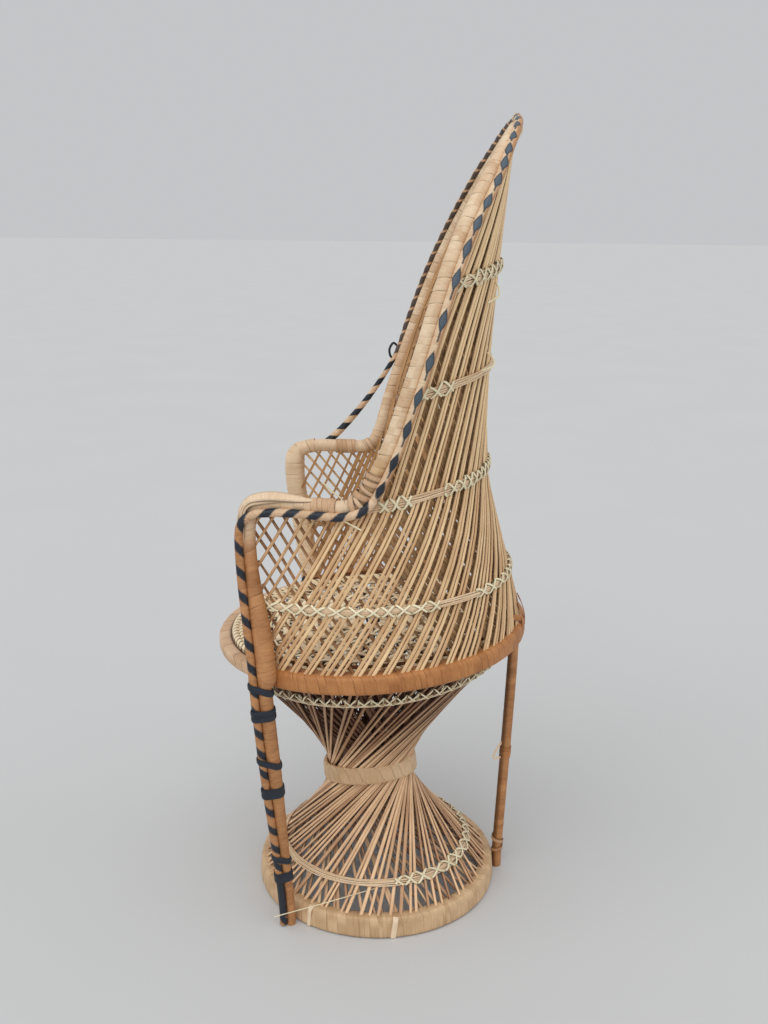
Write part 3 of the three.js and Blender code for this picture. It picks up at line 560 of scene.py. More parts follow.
class Finish:
    """A node material, built step by step."""

    def __init__(self, name):
        self.material = bpy.data.materials.new(name)
        self.material.use_nodes = True
        self.tree = self.material.node_tree
        self.shader = self.tree.nodes["Principled BSDF"]

    def node(self, kind, inputs=(), **settings):
        made = self.tree.nodes.new(kind)
        for key, value in settings.items():
            setattr(made, key, value)
        for key, value in dict(inputs).items():
            self.link(value, made.inputs[key])
        return made

    def link(self, value, socket):
        if isinstance(value, bpy.types.NodeSocket):
            self.tree.links.new(value, socket)
        else:
            socket.default_value = value

    def math(self, operation, a, b=0.0, clamp=False):
        return self.node("ShaderNodeMath", {0: a, 1: b}, operation=operation, use_clamp=clamp).outputs[0]

    def mix(self, share, a, b):
        return self.node("ShaderNodeMix", {0: share, 6: a, 7: b}, data_type="RGBA").outputs[2]

    def value(self, name):
        return self.node("ShaderNodeAttribute", attribute_name=name).outputs["Fac"]

    def noise(self, vector, scale, detail=2.0):
        made = self.node("ShaderNodeTexNoise", {"Vector": vector, "Scale": scale, "Detail": detail})
        return made.outputs["Fac"]

    def scaled(self, vector, scale):
        return self.node("ShaderNodeMapping", {"Vector": vector, "Scale": scale}).outputs["Vector"]


BLEACHED = ("#cca277", "#fbe4c4")
DYED = ("#080a0d", "#323b47")
# Painted sky reflection: blue-grey laid on dyed cane where black goes past 1.
DYE_SKY_REFLECTION = "#596773"
BLOTCH_SCALE = 34.0
STREAK_SHARE = 0.75
BLOTCH_SHARE = 0.7
SHADE_OFFSET = 0.60
SEAM_AND_SHADE_SHARE = 0.9
GLOSS_SPREAD = 0.24
DYE_GLOSS = 0.06
STRAND_SHIFT = 37.0


def cane_finish(name, dark, light, seam, grain, rough=0.5, tone_share=0.75):
    """Peeled cane: each strand between a dark and a light shade, by shares of its tone, of streaks along the
    grain and of blotches. It is lighter where it is bleached, darker in the seams and under painted shade,
    blue-black where it is dyed and blue-grey where a painted sky reflection lies on the dye."""
    finish = Finish(name)
    coordinates = finish.node("ShaderNodeTexCoord")
    tone = finish.value("tone")
    shifted = finish.node("ShaderNodeVectorMath", {0: finish.scaled(coordinates.outputs["UV"], grain)},
                          operation="ADD")
    shift = finish.node("ShaderNodeCombineXYZ", {2: finish.math("MULTIPLY", tone, STRAND_SHIFT)})
    finish.link(shift.outputs[0], shifted.inputs[1])
    streak = finish.noise(shifted.outputs[0], 1.0, 3.0)
    blotch = finish.noise(coordinates.outputs["Object"], BLOTCH_SCALE, 4.0)
    shade = finish.math("MULTIPLY", tone, tone_share)
    shade = finish.math("ADD", shade, finish.math("MULTIPLY", streak, STREAK_SHARE))
    shade = finish.math("ADD", shade, finish.math("MULTIPLY", blotch, BLOTCH_SHARE))
    shade = finish.math("SUBTRACT", shade, SHADE_OFFSET, clamp=True)
    colour = finish.mix(shade, linear(dark), linear(light))
    faded = finish.mix(shade, linear(BLEACHED[0]), linear(BLEACHED[1]))
    colour = finish.mix(finish.value("pale"), colour, faded)
    # The seam attribute mixes towards the seam colour: dark joints, and painted shade where strands and
    # layers would shade each other.
    colour = finish.mix(finish.math("MULTIPLY", finish.value("seam"), SEAM_AND_SHADE_SHARE), colour, linear(seam))
    dyed = finish.mix(streak, linear(DYED[0]), linear(DYED[1]))
    black = finish.value("black")
    # Painted sky reflection on the dye where black goes past 1.
    sky_reflection = finish.math("SUBTRACT", black, 1.0, clamp=True)
    colour = finish.mix(black, colour, finish.mix(sky_reflection, dyed, linear(DYE_SKY_REFLECTION)))
    finish.link(colour, finish.shader.inputs["Base Color"])
    dull = finish.math("ADD", rough - GLOSS_SPREAD / 2, finish.math("MULTIPLY", streak, GLOSS_SPREAD))
    dull = finish.math("SUBTRACT", dull, finish.math("MULTIPLY", black, DYE_GLOSS))
    finish.link(dull, finish.shader.inputs["Roughness"])
    bump = finish.node("ShaderNodeBump", {"Strength": 0.35, "Distance": 0.0004, "Height": streak})
    finish.link(bump.outputs[0], finish.shader.inputs["Normal"])
    finish.shader.inputs["Specular IOR Level"].default_value = 0.4
    return finish.material


AROUND = (700.0, 4.0, 1.0)
ALONG = (22.0, 5.0, 1.0)
post_cane = cane_finish("post_cane", "#8f5a30", "#d69a64", "#2e190b", AROUND)
tan_cane = cane_finish("tan_cane", "#a67846", "#dcb482", "#33200f", AROUND)
hoop_cane = cane_finish("hoop_cane", "#935828", "#d3935a", "#331c0b", AROUND)
base_cane = cane_finish("base_cane", "#b08a62", "#ecca9f", "#3a2413", AROUND)
stake_cane = cane_finish("stake_cane", "#b47d4c", "#ffdcaa", "#2c1206", ALONG, 0.55, 0.9)
pedestal_cane = cane_finish("pedestal_cane", "#986038", "#fdd4a7", "#451600", ALONG, 0.55, 0.9)
# Darker copy of stake_cane for the back's inner layer: painted shade.
shaded_inner_cane = cane_finish("shaded_inner_cane", "#7d5230", "#dcad78", "#1c0b04", ALONG, 0.6, 0.9)
seat_cane = cane_finish("seat_cane", "#bd9262", "#ffeac4", "#1f0d05", ALONG, 0.55, 0.9)
reed_straw = cane_finish("reed_straw", "#bfaa7c", "#fbefcc", "#3a2c16", ALONG, 0.6, 0.8)


# Frame: wrapped poles

def spot(side, x, y, z, twist):
    """Point on one side of the frame, turned by its racking."""
    return turned(np.array([side * x, y, z]), twist)


def ahead_of(start, end, distance):
    return start + unit(end - start) * distance


def bend(before, apex, after):
    """Middle of a round bend between two tangent points."""
    return before / 4 + apex / 2 + after / 4


def rim_half(z):
    """Half the arch's width: straight up to the shoulder, then a superellipse to the peak."""
    rise = (z - ARM_HEIGHT) / (ARCH_SHOULDER - ARM_HEIGHT)
    t = np.clip((z - ARCH_SHOULDER) / (ARCH_PEAK - ARCH_SHOULDER), 0, 1)
    crown = ARCH_WIDTH / 2 * (1 - t * t) ** (1 / ARCH_ROUNDNESS)
    return np.where(z < ARCH_SHOULDER, lerp(ARM_END_X, ARCH_WIDTH / 2, rise), crown)


def rim_y(z):
    """The arch leans back in proportion to height, and curls further back near the top."""
    curl = np.maximum(0, z - ARCH_CURL_START) ** 2 / (2 * ARCH_CURL_RADIUS)
    return ARM_END_Y + ARCH_LEAN * (z - ARM_HEIGHT) + curl


def back_twist(z):
    """Racking of the back: less from the posts up to the narrow place, then more up to the top."""
    return np.interp(z, (SEAT_HEIGHT, ARM_HEIGHT, BACK_WAIST_HEIGHT, ARCH_PEAK),
                     (POST_TWIST, ARM_TWIST, BACK_WAIST_TWIST, ARCH_TWIST))


def leg_size(z):
    """Share of the front pole's full radius: thin at the floor, full from half the leg upwards."""
    return lerp(FOOT_SHARE, 1.0, rising(z, TAPER_START, TAPER_HEIGHT))


def rim(side, z):
    """Point of the arch; its right half stands a little further back above the arm."""
    sag = RIGHT_SETBACK * rising(z, 0.465, 0.04) * (1 - rising(z, 0.60, 0.12)) if side > 0 else 0.0
    return turned(np.array([side * float(rim_half(z)), float(rim_y(z) + sag), z]), back_twist(z))


def arm_stations(side):
    """Points of a front leg, post and arm, from the floor to the joint with the arch."""
    foot = polar(BASE_RADIUS + CLEARANCE + POLE_RADIUS, side * FOOT_ANGLE + FOOT_TWIST, 0.0)
    beside = SEAT_RADIUS + CLEARANCE + POLE_RADIUS
    post = side * POST_ANGLE + POST_TWIST
    low = on_seat(beside, post, -POST_REACH)
    high = on_seat(beside, post, POST_REACH)
    apex = spot(side, CORNER_X, CORNER_Y, ARM_HEIGHT, CORNER_TWIST)
    end = spot(side, ARM_END_X, ARM_END_Y, ARM_HEIGHT, ARM_TWIST)
    before = ahead_of(apex, high, CORNER_RADIUS)
    after = ahead_of(apex, end, CORNER_RADIUS)
    shoe = foot + (0, 0, 2 * POLE_RADIUS)
    return {"foot": foot, "shoe": shoe, "low": low, "high": high, "before": before,
            "corner": bend(before, apex, after), "after": after, "end": end,
            "joint": ahead_of(end, apex, ARM_JOINT)}


def arch_stations(side):
    """Points of half the back arch, from its joint with the arm to just short of the top."""
    arm = arm_stations(side)
    before = ahead_of(arm["end"], arm["after"], BEND_RADIUS)
    above = rim(side, ARM_HEIGHT + BEND_RADIUS)
    straight = [rim(side, lerp(ARM_HEIGHT + BEND_RADIUS, ARCH_SHOULDER, t)) for t in (0.3, 0.65)]
    crown = [rim(side, ARCH_SHOULDER + (ARCH_PEAK - ARCH_SHOULDER) * np.sin(np.radians(a)))
             for a in (0, 15, 30, 45, 60, 75)]
    return [arm["joint"], before, bend(before, arm["end"], above), above, *straight, *crown]


def arm_line(side):
    """Smooth line of a front leg, post and arm, in even steps."""
    arm = arm_stations(side)
    names = ("foot", "shoe", "low", "high", "before", "corner", "after", "joint")
    return spaced(through([arm[name] for name in names]), LINE_STEP)


def arch_line():
    """Smooth line of the back arch from the right joint over the top to the left one, in even steps."""
    points = [*arch_stations(1), rim(1, ARCH_PEAK), *arch_stations(-1)[::-1]]
    return spaced(through(points), LINE_STEP)


def build_arm(side, name, rng):
    """Front leg, post and arm: fine wraps on the leg and post, long pale ones over the corner and arm.
    The right post swells towards the rear just above the seat."""
    line = arm_line(side)
    run = arc_length(line)
    upright_share = 0.60
    widths = np.concatenate([strip_widths(run[-1] * upright_share, LEG_STRIP, 0.5, rng),
                             strip_widths(run[-1] * (1 - upright_share), ARM_STRIP, 0.6, rng)])
    height = lambda length: np.interp(length, run, line[:, 2])
    upright_pale, arm_pale = 0.03 if side > 0 else 0.7, 0.95
    swelling, setback = 0.38, (0, 0.0028, 0)
    swell = lambda z: (side > 0) * falling(z, 0.405, 0.085) * rising(z, 0.280, 0.012)

    def pale(length, angle):
        return lerp(upright_pale, arm_pale, rising(height(length), ARM_HEIGHT - 0.05, 0.03))

    def size(length):
        return leg_size(height(length)) * (1 + swelling * swell(height(length)))

    skin = Skin()
    swollen = line + setback * swell(line[:, 2:])
    wound(skin, swollen, (side, -0.2, 0.0), round_section(POLE_RADIUS, 24), widths, rng, groove=0.00022,
          seams=(0.02, 1.0), tone=(0.3, 0.7), pale=pale, size=size)
    skin.piece(f"{name}_wrapped_arm", post_cane, "frame_cane", [f"{name}_arm_pole"])


def build_corner_straps():
    """Pale straps along the outer side of the right corner, standing off the pole by a squared sine."""
    line = arm_line(1)
    step = arc_length(line)[1]
    corner = nearest_to(line, arm_stations(1)["corner"])
    highest = 0.0026
    strap = Skin()
    for back, ahead, outside, broad, tone in (
            (0.036, 0.062, np.array([0.35, -0.6, 0.72]), 0.0120, 0.8),
            (0.032, 0.036, np.array([0.75, -0.5, 0.45]), 0.0062, 0.5),
            (0.050, 0.018, np.array([0.15, -0.95, 0.3]), 0.0060, 0.6)):
        part = line[corner - int(back / step): corner + int(ahead / step)]
        along = slopes(part)
        out = unit(outside - along * dot(outside, along))
        width = broad * np.sin(np.linspace(0.06, np.pi - 0.06, len(part))) ** 0.6
        lift = highest * np.sin(np.linspace(0, np.pi, len(part)))[:, None] ** 2
        sweep_sections(strap, part + out * (POLE_RADIUS + CLEARANCE + lift), out,
                       flat_section(width, STRAP_THICKNESS), tone=tone, pale=0.9, seam=edge_shade(0.0, 0.45, 0.9))
    strap.piece("right_corner_strap", post_cane, "frame_cane")


def build_left_post(rng):
    """Pale wraps that take in both the left post and its rod, from the seat round the corner: an oval
    carried along the line half way between them."""
    line, (rod, _) = arm_line(-1), rod_line(-1)
    after = nearest_to(line, arm_stations(-1)["after"])
    pole = line[np.argmax(line[:, 2] > SEAT_HEIGHT + 0.004): after]
    nearest = np.linalg.norm(pole[:, None] - rod[None], axis=-1).argmin(axis=1)
    apart = rod[nearest] - pole
    distance = np.linalg.norm(apart, axis=1, keepdims=True)
    middle = pole + apart * 0.5 * (1 - (POLE_RADIUS - ROD_RADIUS) / distance)
    half = (distance.mean() + POLE_RADIUS + ROD_RADIUS) / 2 + 0.0006
    skin = Skin()
    widths = strip_widths(arc_length(middle)[-1], POST_STRIP, 0.5, rng)
    wound(skin, middle, apart, oval_section(half, POLE_RADIUS + WRAP_LIFT, 2.6, 28), widths, rng,
          seams=(0.0, 0.9), tone=(0.5, 1.0), pale=0.9)
    skin.piece("left_post_wraps", tan_cane, "frame_cane")


def build_arch(rng):
    """Back arch: pale wraps with thin broken seams, browner just above the right arm."""
    line = arch_line()
    run = arc_length(line)
    heart = np.array([0.0, 0.05, 0.60])

    def pale(length, angle):
        height = np.interp(length, run, line[:, 2])
        brown = rising(height, ARM_HEIGHT + 0.001, 0.006) * (1 - rising(height, 0.485, 0.04))
        return 0.9 - 0.75 * brown * (length < run[-1] / 2)

    skin = Skin()
    widths = strip_widths(run[-1], ARCH_STRIP, 0.65, rng)
    wound(skin, line, line - heart, round_section(POLE_RADIUS, 24), widths, rng, groove=0.00025,
          seams=(0.0, 1.8), tone=(0.25, 0.95), pale=pale)
    skin.piece("wrapped_arch", tan_cane, "frame_cane", ["back_arch"])


# Striped rods

def rod_size(side, z):
    """Share of its full thickness that a rod has at a height: the left one thins out above the arm."""
    return 1 - LEFT_ROD_THINNING * (side < 0) * rising(z, ARM_HEIGHT, 0.10)


def rod_line(side):
    """Line of a striped rod and the direction in which it stands off its pole. Both run up the front of
    their post and end on top of the arch. The right one passes the corner on the chair's outer side, goes
    along under the arm and up behind the arch. The left one has sprung from the arm just past the corner
    and crosses to the front of the arch."""
    arm, arch = arm_stations(side), arch_stations(side)
    front = (side * 0.35, -0.94, 0)
    beside = (side, 0, 0)
    stops = [(arm["foot"] + (0, 0, ROD_RADIUS / 2), front), (arm["shoe"], front), (arm["low"], front),
             (arm["high"], front)]
    if side > 0:
        before, corner = (0.72, -0.68, 0), (0.95, 0.15, -0.25)
        under, turning = (0.8, 0, -0.6), (0.85, 0.4, -0.35)
        upward = (0.6, 0.78, -0.1)
        stops += [(arm["before"], before), (arm["corner"], corner), (arm["after"], under),
                  (arm["joint"], under), (arch[1], under), (arch[2], turning), (arch[3], upward),
                  (arch[4], upward)]
    else:
        outside, crossing = (-0.9, -0.4, -0.1), (-0.7, -0.7, 0)
        upward = front
        sprung = ahead_of(arm["after"], arm["joint"], POLE_RADIUS)
        midway = lerp(sprung, arch[5], 0.45) + (0, 0.006, -0.007)
        stops += [(arm["before"], front), (arm["corner"], outside), (arm["after"], beside), (sprung, beside),
                  (midway, crossing)]
    stops += [(point, upward) for point in arch[5:10]]
    stops += [(arch[10], (side * 0.6, side * 0.62, 0.45)), (arch[11], (side * 0.4, side * 0.4, 0.8)),
              (rim(side, ARCH_PEAK) - (side * 0.0022, 0, 0), (0, 0.1, 0.98))]
    core = through([point for point, _ in stops])
    lie = through([direction for _, direction in stops])
    along = slopes(core)
    away = unit(lie - along * dot(lie, along))
    half = ROD_RADIUS * rod_size(side, core[:, 2:])
    line = core + away * (POLE_RADIUS * leg_size(core[:, 2:]) + half + ROD_GAP)
    run = arc_length(line)
    even = np.linspace(0, run[-1], int(run[-1] / LINE_STEP))
    return read_between(even, run, line), unit(read_between(even, run, away))


def stripe(length, angle, side, pitch, share, blur):
    """A black strip wound round a rod. A lap is length over pitch plus the angle's part of a turn, and the
    strip lies within a share of a lap on either side of the lap's middle."""
    lap = length / pitch + side * angle / (2 * np.pi)
    return smooth((share - np.abs(lap % 1 - 0.5)) / blur + 0.5)


def lozenges(from_top, turn, sky_reflection):
    """Black lozenges on a rod's outer side: diamonds in length and turn, each with a thin tail towards the
    foot. The middle of a diamond goes past full black by worn, which paints a blue-grey sky reflection on it."""
    gap = from_top[..., None] - LOZENGES
    nearest = np.take_along_axis(gap, np.abs(gap).argmin(axis=-1)[..., None], axis=-1)[..., 0]
    half_length = np.interp(from_top, (0, 0.08, 0.2), (0.0055, 0.0085, 0.0108))
    half_turn, blur, outline = 1.2, 0.16, 0.14
    edge = 1 - np.abs(nearest) / half_length - np.abs(turn) / half_turn
    diamond = smooth(edge / blur + 0.5) + sky_reflection * rising(edge, outline, blur)
    tail = falling(np.abs(turn - 0.12), 0.20, 0.08) * (nearest > 0)
    tail = tail * falling(nearest, half_length + 0.011, 0.003)
    return np.maximum(diamond, 0.85 * tail)


def build_rod(side, name, rng):
    """Striped rod. On post and arm a black strip winds round it; on the back the black shows as lozenges
    on the outer side and as a tight twist on the inner side, which beads the left rod."""
    line, away = rod_line(side)
    run = arc_length(line)
    total = run[-1]
    height = lambda length: np.interp(length, run, line[:, 2])
    reaches = lambda z: run[np.argmax(line[:, 2] > z)]
    arm_end = reaches(ARM_HEIGHT + 0.010 if side > 0 else LEFT_ROD_MEETS)
    shoe, foot_end = (reaches(z) for z in BLACK_FOOT)
    corner = reaches(ARM_HEIGHT - 0.03)
    outer_side = 0.9 if side > 0 else 1.22
    on_arm = lambda length: rising(length, corner, 0.03)
    on_back = lambda length: rising(length, arm_end, 0.006)
    turn_of = lambda angle: (angle + outer_side + np.pi) % (2 * np.pi) - np.pi

    def black(length, angle):
        spiral = stripe(length, angle, side, SPIRAL_PITCH, lerp(0.215, 0.25, on_arm(length)), 0.03)
        turn = turn_of(angle)
        # Painted sky reflection on the upper lozenges, rising towards the top.
        sky_reflection = 0.85 * rising(height(length), 0.49, 0.10)
        twist = stripe(length, angle, side, TWIST_PITCH, 0.39, 0.05) * rising(np.abs(turn), 1.75, 0.25)
        back = np.maximum(lozenges(np.maximum(total - length, 0), turn, sky_reflection), 0.88 * twist)
        foot = falling(length, foot_end, 0.002) * rising(length, shoe, 0.002)
        return np.maximum(lerp(spiral, back, on_back(length)), foot)

    def pale(length, angle):
        turn = turn_of(angle)
        below = lerp(0.05 if side > 0 else 0.5, 0.75, on_arm(length))
        shaded = 0.8 * rising(turn, 0.1, 0.7) if side > 0 else 0.45 * rising(np.abs(turn), 1.5, 0.3)
        return lerp(below, 0.95 - shaded, on_back(length))

    def beaded(length):
        bead = BEAD * (side < 0) * on_back(length) * np.cos(2 * np.pi * (length / TWIST_PITCH + 0.2))
        return rod_size(side, height(length)) * (1 + bead)

    skin = Skin()
    widths = strip_widths(total, ROD_STRIP, 0.35, rng)
    wound(skin, line, away, round_section(ROD_RADIUS, 28), widths, rng, groove=0.00016, seams=(0.0, 0.3),
          tone=(0.35, 0.75), black=black, pale=pale, size=beaded)
    skin.piece(f"{name}_striped_cane", post_cane, "black_cane", [f"{name}_striped_rod"])


# Bands and bindings

def pair_loop(distance, pole_radius, rod_radius):
    """Belt line round two circles: arcs where each one is outermost, joined by straight runs. Gives the
    points and outward directions in the plane across the pole, with the rod along the first axis."""
    meet = np.arccos((pole_radius - rod_radius) / distance)
    far = np.linspace(-meet, meet, 12)
    near = np.linspace(meet, 2 * np.pi - meet, 22)
    circle = lambda a: np.stack([np.cos(a), np.sin(a)], axis=-1)
    points = np.vstack([circle(far) * rod_radius + (distance, 0), circle(near) * pole_radius])
    return points, np.vstack([circle(far), circle(near)])


def band_section(width, thickness, strands):
    """Cane strands side by side: flat inside, a low crown on each outside."""
    across = np.linspace(0.5, -0.5, 4 * strands + 1)
    crown = 1 - np.abs(2 * ((across + 0.5) * strands % 1) - 1) ** 6 * 0.55
    outside = np.stack([across * width, crown * thickness], axis=-1)
    inside = np.array([(-0.5 * width, 0.0), (0.5 * width, 0.0)])
    return np.vstack([outside, inside])


def pair_band(skin, line, rod, height, width, lean, strands, rng):
    """Black band round a pole and its rod at a height; lean lifts it towards the rod."""
    near = np.argmax(line[:, 2] > height)
    centre = line[near]
    along = slopes(line)[near]
    gap = rod - centre
    beside = gap[np.argmin(np.abs(gap @ along)[: len(rod) // 2])]
    beside = beside - along * (beside @ along)
    first, second = unit(beside), np.cross(along, unit(beside))
    pole_radius = POLE_RADIUS * float(leg_size(height)) + WRAP_LIFT
    loop, out = pair_loop(np.linalg.norm(beside), pole_radius, ROD_RADIUS + WRAP_LIFT)
    lift = lean * (loop[:, 0] - loop[:, 0].mean())
    path = centre + loop[:, :1] * first + loop[:, 1:] * second + lift[:, None] * along
    normal = out[:, :1] * first + out[:, 1:] * second
    sweep_sections(skin, path, normal, band_section(width, BAND_THICKNESS, strands), closed=True,
                   tone=rng.uniform(0.3, 0.7), black=1.0)


def build_leg_bands(side, name, rng):
    """Black bands that hold a striped rod to its leg."""
    line = arm_line(side)
    rod, _ = rod_line(side)
    for number, height in enumerate(FLAT_BANDS, 1):
        skin = Skin()
        pair_band(skin, line, rod, height, FLAT_BAND_WIDTH, 0.0, 2, rng)
        skin.piece(f"{name}_black_band_{number}", stake_cane, "black_cane", [f"{name}_leg_band_{number}"])
    for number, height in enumerate(TILTED_BANDS, 1):
        skin = Skin()
        pair_band(skin, line, rod, height, TILTED_BAND_WIDTH, TILTED_BAND_LEAN, 1, rng)
        skin.piece(f"{name}_slanted_band_{number}", stake_cane, "black_cane")


def bow(skin, centre, along, start, radius, bulge, shift, width, **values):
    """A loosened wrap: an arc about a pole that stands off it by bulge times a squared sine."""
    t = np.linspace(0, 1, 30)[:, None]
    angle = start + 4.6 * t
    first = unit(np.array([1.0, 0.0, 0.0]) - along * along[0])
    second = np.cross(along, first)
    out = np.cos(angle) * first + np.sin(angle) * second
    path = centre + out * (radius + bulge * np.sin(np.pi * t) ** 2) + along * shift * (t - 0.5)
    sweep_sections(skin, path, out, flat_section(width, SPLIT_THICKNESS), seam=edge_shade(0.0, 0.5, 0.9), **values)


def build_joint(side, name, rng):
    """Binding over the joint of arm and arch, with loosened wraps along the foot of the arch."""
    arm = arm_stations(side)
    along = unit(arm["joint"] - arm["after"])
    line = arm["joint"] + np.linspace(*JOINT_REACH, 17)[:, None] * along
    skin = Skin()
    widths = strip_widths(JOINT_REACH[1] - JOINT_REACH[0], JOINT_STRIP, 0.3, rng)
    wound(skin, line, (side, 0.0, 0.0), round_section(POLE_RADIUS + 0.0010, 24), widths, rng, groove=0.0006,
          seams=(0.1, 0.8), tone=(0.2, 0.6), pale=0.65)
    arch = spaced(through(arch_stations(side)), LINE_STEP)
    slope = slopes(arch)
    for length in ARCH_BOWS if side > 0 else ARCH_BOWS[:1]:
        at = int(length / LINE_STEP)
        bow(skin, arch[at], slope[at], rng.uniform(-3.4, -2.2), POLE_RADIUS + WRAP_LIFT,
            rng.uniform(0.0006, 0.0030), rng.uniform(-0.007, 0.007), rng.uniform(0.0035, 0.0062),
            tone=rng.uniform(0.2, 0.7), pale=rng.uniform(0.4, 0.9))
    skin.piece(f"{name}_joint_wraps", post_cane, "frame_cane", [f"{name}_joint_binding"])


def rear_leg_line():
    """Smooth line of the rear leg from the floor to the underside of the seat hoop, in even steps."""
    foot = polar(BASE_RADIUS + CLEARANCE + LEG_RADIUS, 180 + REAR_FOOT_TWIST, 0.0)
    reach = (SEAT_RADIUS + SEAT_INNER) / 2
    neck = on_seat(reach, 180, -SEAT_BAND / 2 - 3 * LEG_RADIUS)
    top = on_seat(reach, 180, -SEAT_BAND / 2 - CLEARANCE)
    return spaced(through([foot, foot + (0, 0, 2 * LEG_RADIUS), neck, top]), LINE_STEP)


def build_rear_leg(rng):
    """Rear leg with fine wraps, two of them loosened near its foot, and a lashing half way up from which a
    strip has sprung."""
    line = rear_leg_line()
    slope = slopes(line)
    rearward = (0.0, 1.0, 0.0)
    shaded = lambda length, angle: 0.72 * rising(-np.cos(angle), 0.05, 0.6)
    skin = Skin()
    widths = strip_widths(arc_length(line)[-1], REAR_LEG_STRIP, 0.5, rng)
    wound(skin, line, rearward, round_section(LEG_RADIUS, 22), widths, rng, groove=0.0002, seams=(0.02, 0.8),
          side_shade=shaded)
    for height, bulge in REAR_BOWS:
        at = np.argmax(line[:, 2] > height)
        bow(skin, line[at], slope[at], rng.uniform(-3.2, -2.4), LEG_RADIUS + WRAP_LIFT, bulge,
            rng.uniform(-0.008, 0.008), REAR_BOW_WIDTH, tone=rng.uniform(0.2, 0.7),
            pale=rng.uniform(0.0, 0.5))
    skin.piece("rear_leg_wraps", post_cane, "frame_cane", ["rear_leg"])

    middle = np.argmax(line[:, 2] > REAR_LASHING_HEIGHT)
    lashing = line[middle] + np.linspace(-REAR_LASHING / 2, REAR_LASHING / 2, 13)[:, None] * slope[middle]
    skin = Skin()
    widths = strip_widths(REAR_LASHING, LASHING_STRIP, 0.3, rng)
    wound(skin, lashing, rearward, round_section(LEG_RADIUS + 0.0008, 22), widths, rng, groove=0.0007,
          seams=(0.2, 0.8), side_shade=shaded)
    sprung = np.array([(0.002, -0.004, 0.012), (0.004, -0.011, 0.001), (0.004, -0.0125, -0.007),
                       (0.003, -0.004, -0.006)])
    strand_through(skin, line[middle] + sprung, (1, 0, 0), 0.0020, tone=0.9, pale=0.8)
    skin.piece("rear_leg_lashing_wraps", hoop_cane, "frame_cane", ["rear_leg_lashing"])


# Hoops

def ring(radius, height, place=lambda points: points):
    """Circle about the axis in half degrees, put in place by a function, and its outward directions."""
    angle = np.linspace(0, 360, 720, endpoint=False)
    line = place(polar(radius, angle, height))
    return line, unit(line - place(np.zeros(3)))


def build_base_hoop(rng):
    """Base hoop: a flat section with cane wound round it."""
    line, out = ring((BASE_RADIUS + BASE_INNER) / 2, BASE_HEIGHT / 2)
    section = band_profile((BASE_RADIUS - BASE_INNER) / 2, BASE_HEIGHT / 2, 5.0, 32, BASE_DROP)
    skin = Skin()
    widths = strip_widths(2 * np.pi * BASE_RADIUS, BASE_STRIP, 0.6, rng)
    wound(skin, line, out, section, widths, rng, seams=(0.05, 1.1), closed=True)
    skin.piece("base_hoop_wraps", base_cane, "hoop_cane", ["base_hoop", "base_hoop_binding"])


def at_waist(points):
    """Points turned about Y by the waist's roll, then tilted and moved to its place."""
    x, y, z = np.moveaxis(np.asarray(points), -1, 0)
    c, s = np.cos(np.radians(WAIST_ROLL)), np.sin(np.radians(WAIST_ROLL))
    rolled = np.stack([x * c - z * s, y, x * s + z * c], axis=-1)
    return tilted(rolled, WAIST_TILT, WAIST_SETBACK, WAIST_HEIGHT)


def build_waist(rng):
    """Wide binding round the waist, its strips on a slant."""
    line, out = ring(WAIST_RING, 0.0, at_waist)
    section = oval_section(WAIST_BAND_HALF, WAIST_BAND / 2, 5.0, 24)
    skin = Skin()
    widths = strip_widths(2 * np.pi * WAIST_RING, WAIST_STRIP, 0.6, rng)
    wound(skin, line, out, section, widths, rng, groove=0.0005, seams=(0.3, 1.6), closed=True, slant=0.0042,
          tone=(0.35, 0.8), pale=0.45)
    skin.piece("waist_wraps", tan_cane, "hoop_cane", ["waist_binding", "waist_hoop"])


def build_seat_hoop(rng):
    """Seat hoop: slim with broad pale strips in front of the posts, full with narrow ones behind them."""
    line, out = ring((SEAT_RADIUS + SEAT_INNER) / 2, 0.0, at_seat)
    count = len(line)
    from_front = np.abs((np.arange(count) * 360 / count - POST_TWIST + 180) % 360 - 180)
    slim = falling(from_front, POST_ANGLE, 1.5)
    slimming, outset, front_seam = 0.36, 0.0033, 0.75
    line = line + out * (outset * slim)[:, None]
    section = band_profile((SEAT_RADIUS - SEAT_INNER) / 2, SEAT_BAND / 2, 4.5, 32, SEAT_DROP)
    circumference = np.pi * (SEAT_RADIUS + SEAT_INNER)
    near_share, far_share = (POST_ANGLE + POST_TWIST) / 360, (POST_ANGLE - POST_TWIST) / 360
    rear = strip_widths(circumference * (1 - near_share - far_share), SEAT_REAR_STRIP, 0.6, rng)
    near = strip_widths(circumference * near_share, SEAT_FRONT_STRIP, 0.5, rng)
    far = strip_widths(circumference * far_share, SEAT_FRONT_STRIP, 0.5, rng)
    firm = np.repeat((front_seam, 0.0, front_seam), (len(near), len(rear), len(far)))
    run = arc_length(line)[-1]

    def size(length):
        return 1 - slimming * np.interp((length / run % 1) * count, np.arange(count), slim)

    def pale(length, angle):
        share = (length / run) % 1
        return 0.7 * np.maximum(falling(share, near_share, 0.004), rising(share, 1 - far_share, 0.004))

    def shaded(length, angle):
        return 0.8 * rising(-np.cos(angle), 0.1, 0.5)

    skin = Skin()
    wound(skin, line, out, section, np.concatenate([near, rear, far]), rng, seams=(0.08, 1.6), closed=True,
          slant=0.0012, tone=(0.3, 0.65), pale=pale, size=size, side_shade=shaded, firm=firm)
    skin.piece("seat_hoop_wraps", hoop_cane, "hoop_cane",
               ["seat_hoop", "seat_hoop_binding_rear", "seat_hoop_binding_front"])


# Twined rows

# Share of a pitch in which a strand lies in front, its middle's distance from the path and how far it
# goes out from there in front and in behind the stakes
FRONT_SHARE = 0.80
STRAND_STAND = 0.0008
STRAND_OUT = 0.0013
STRAND_IN = 0.0042
REED_WANDER = 0.0005


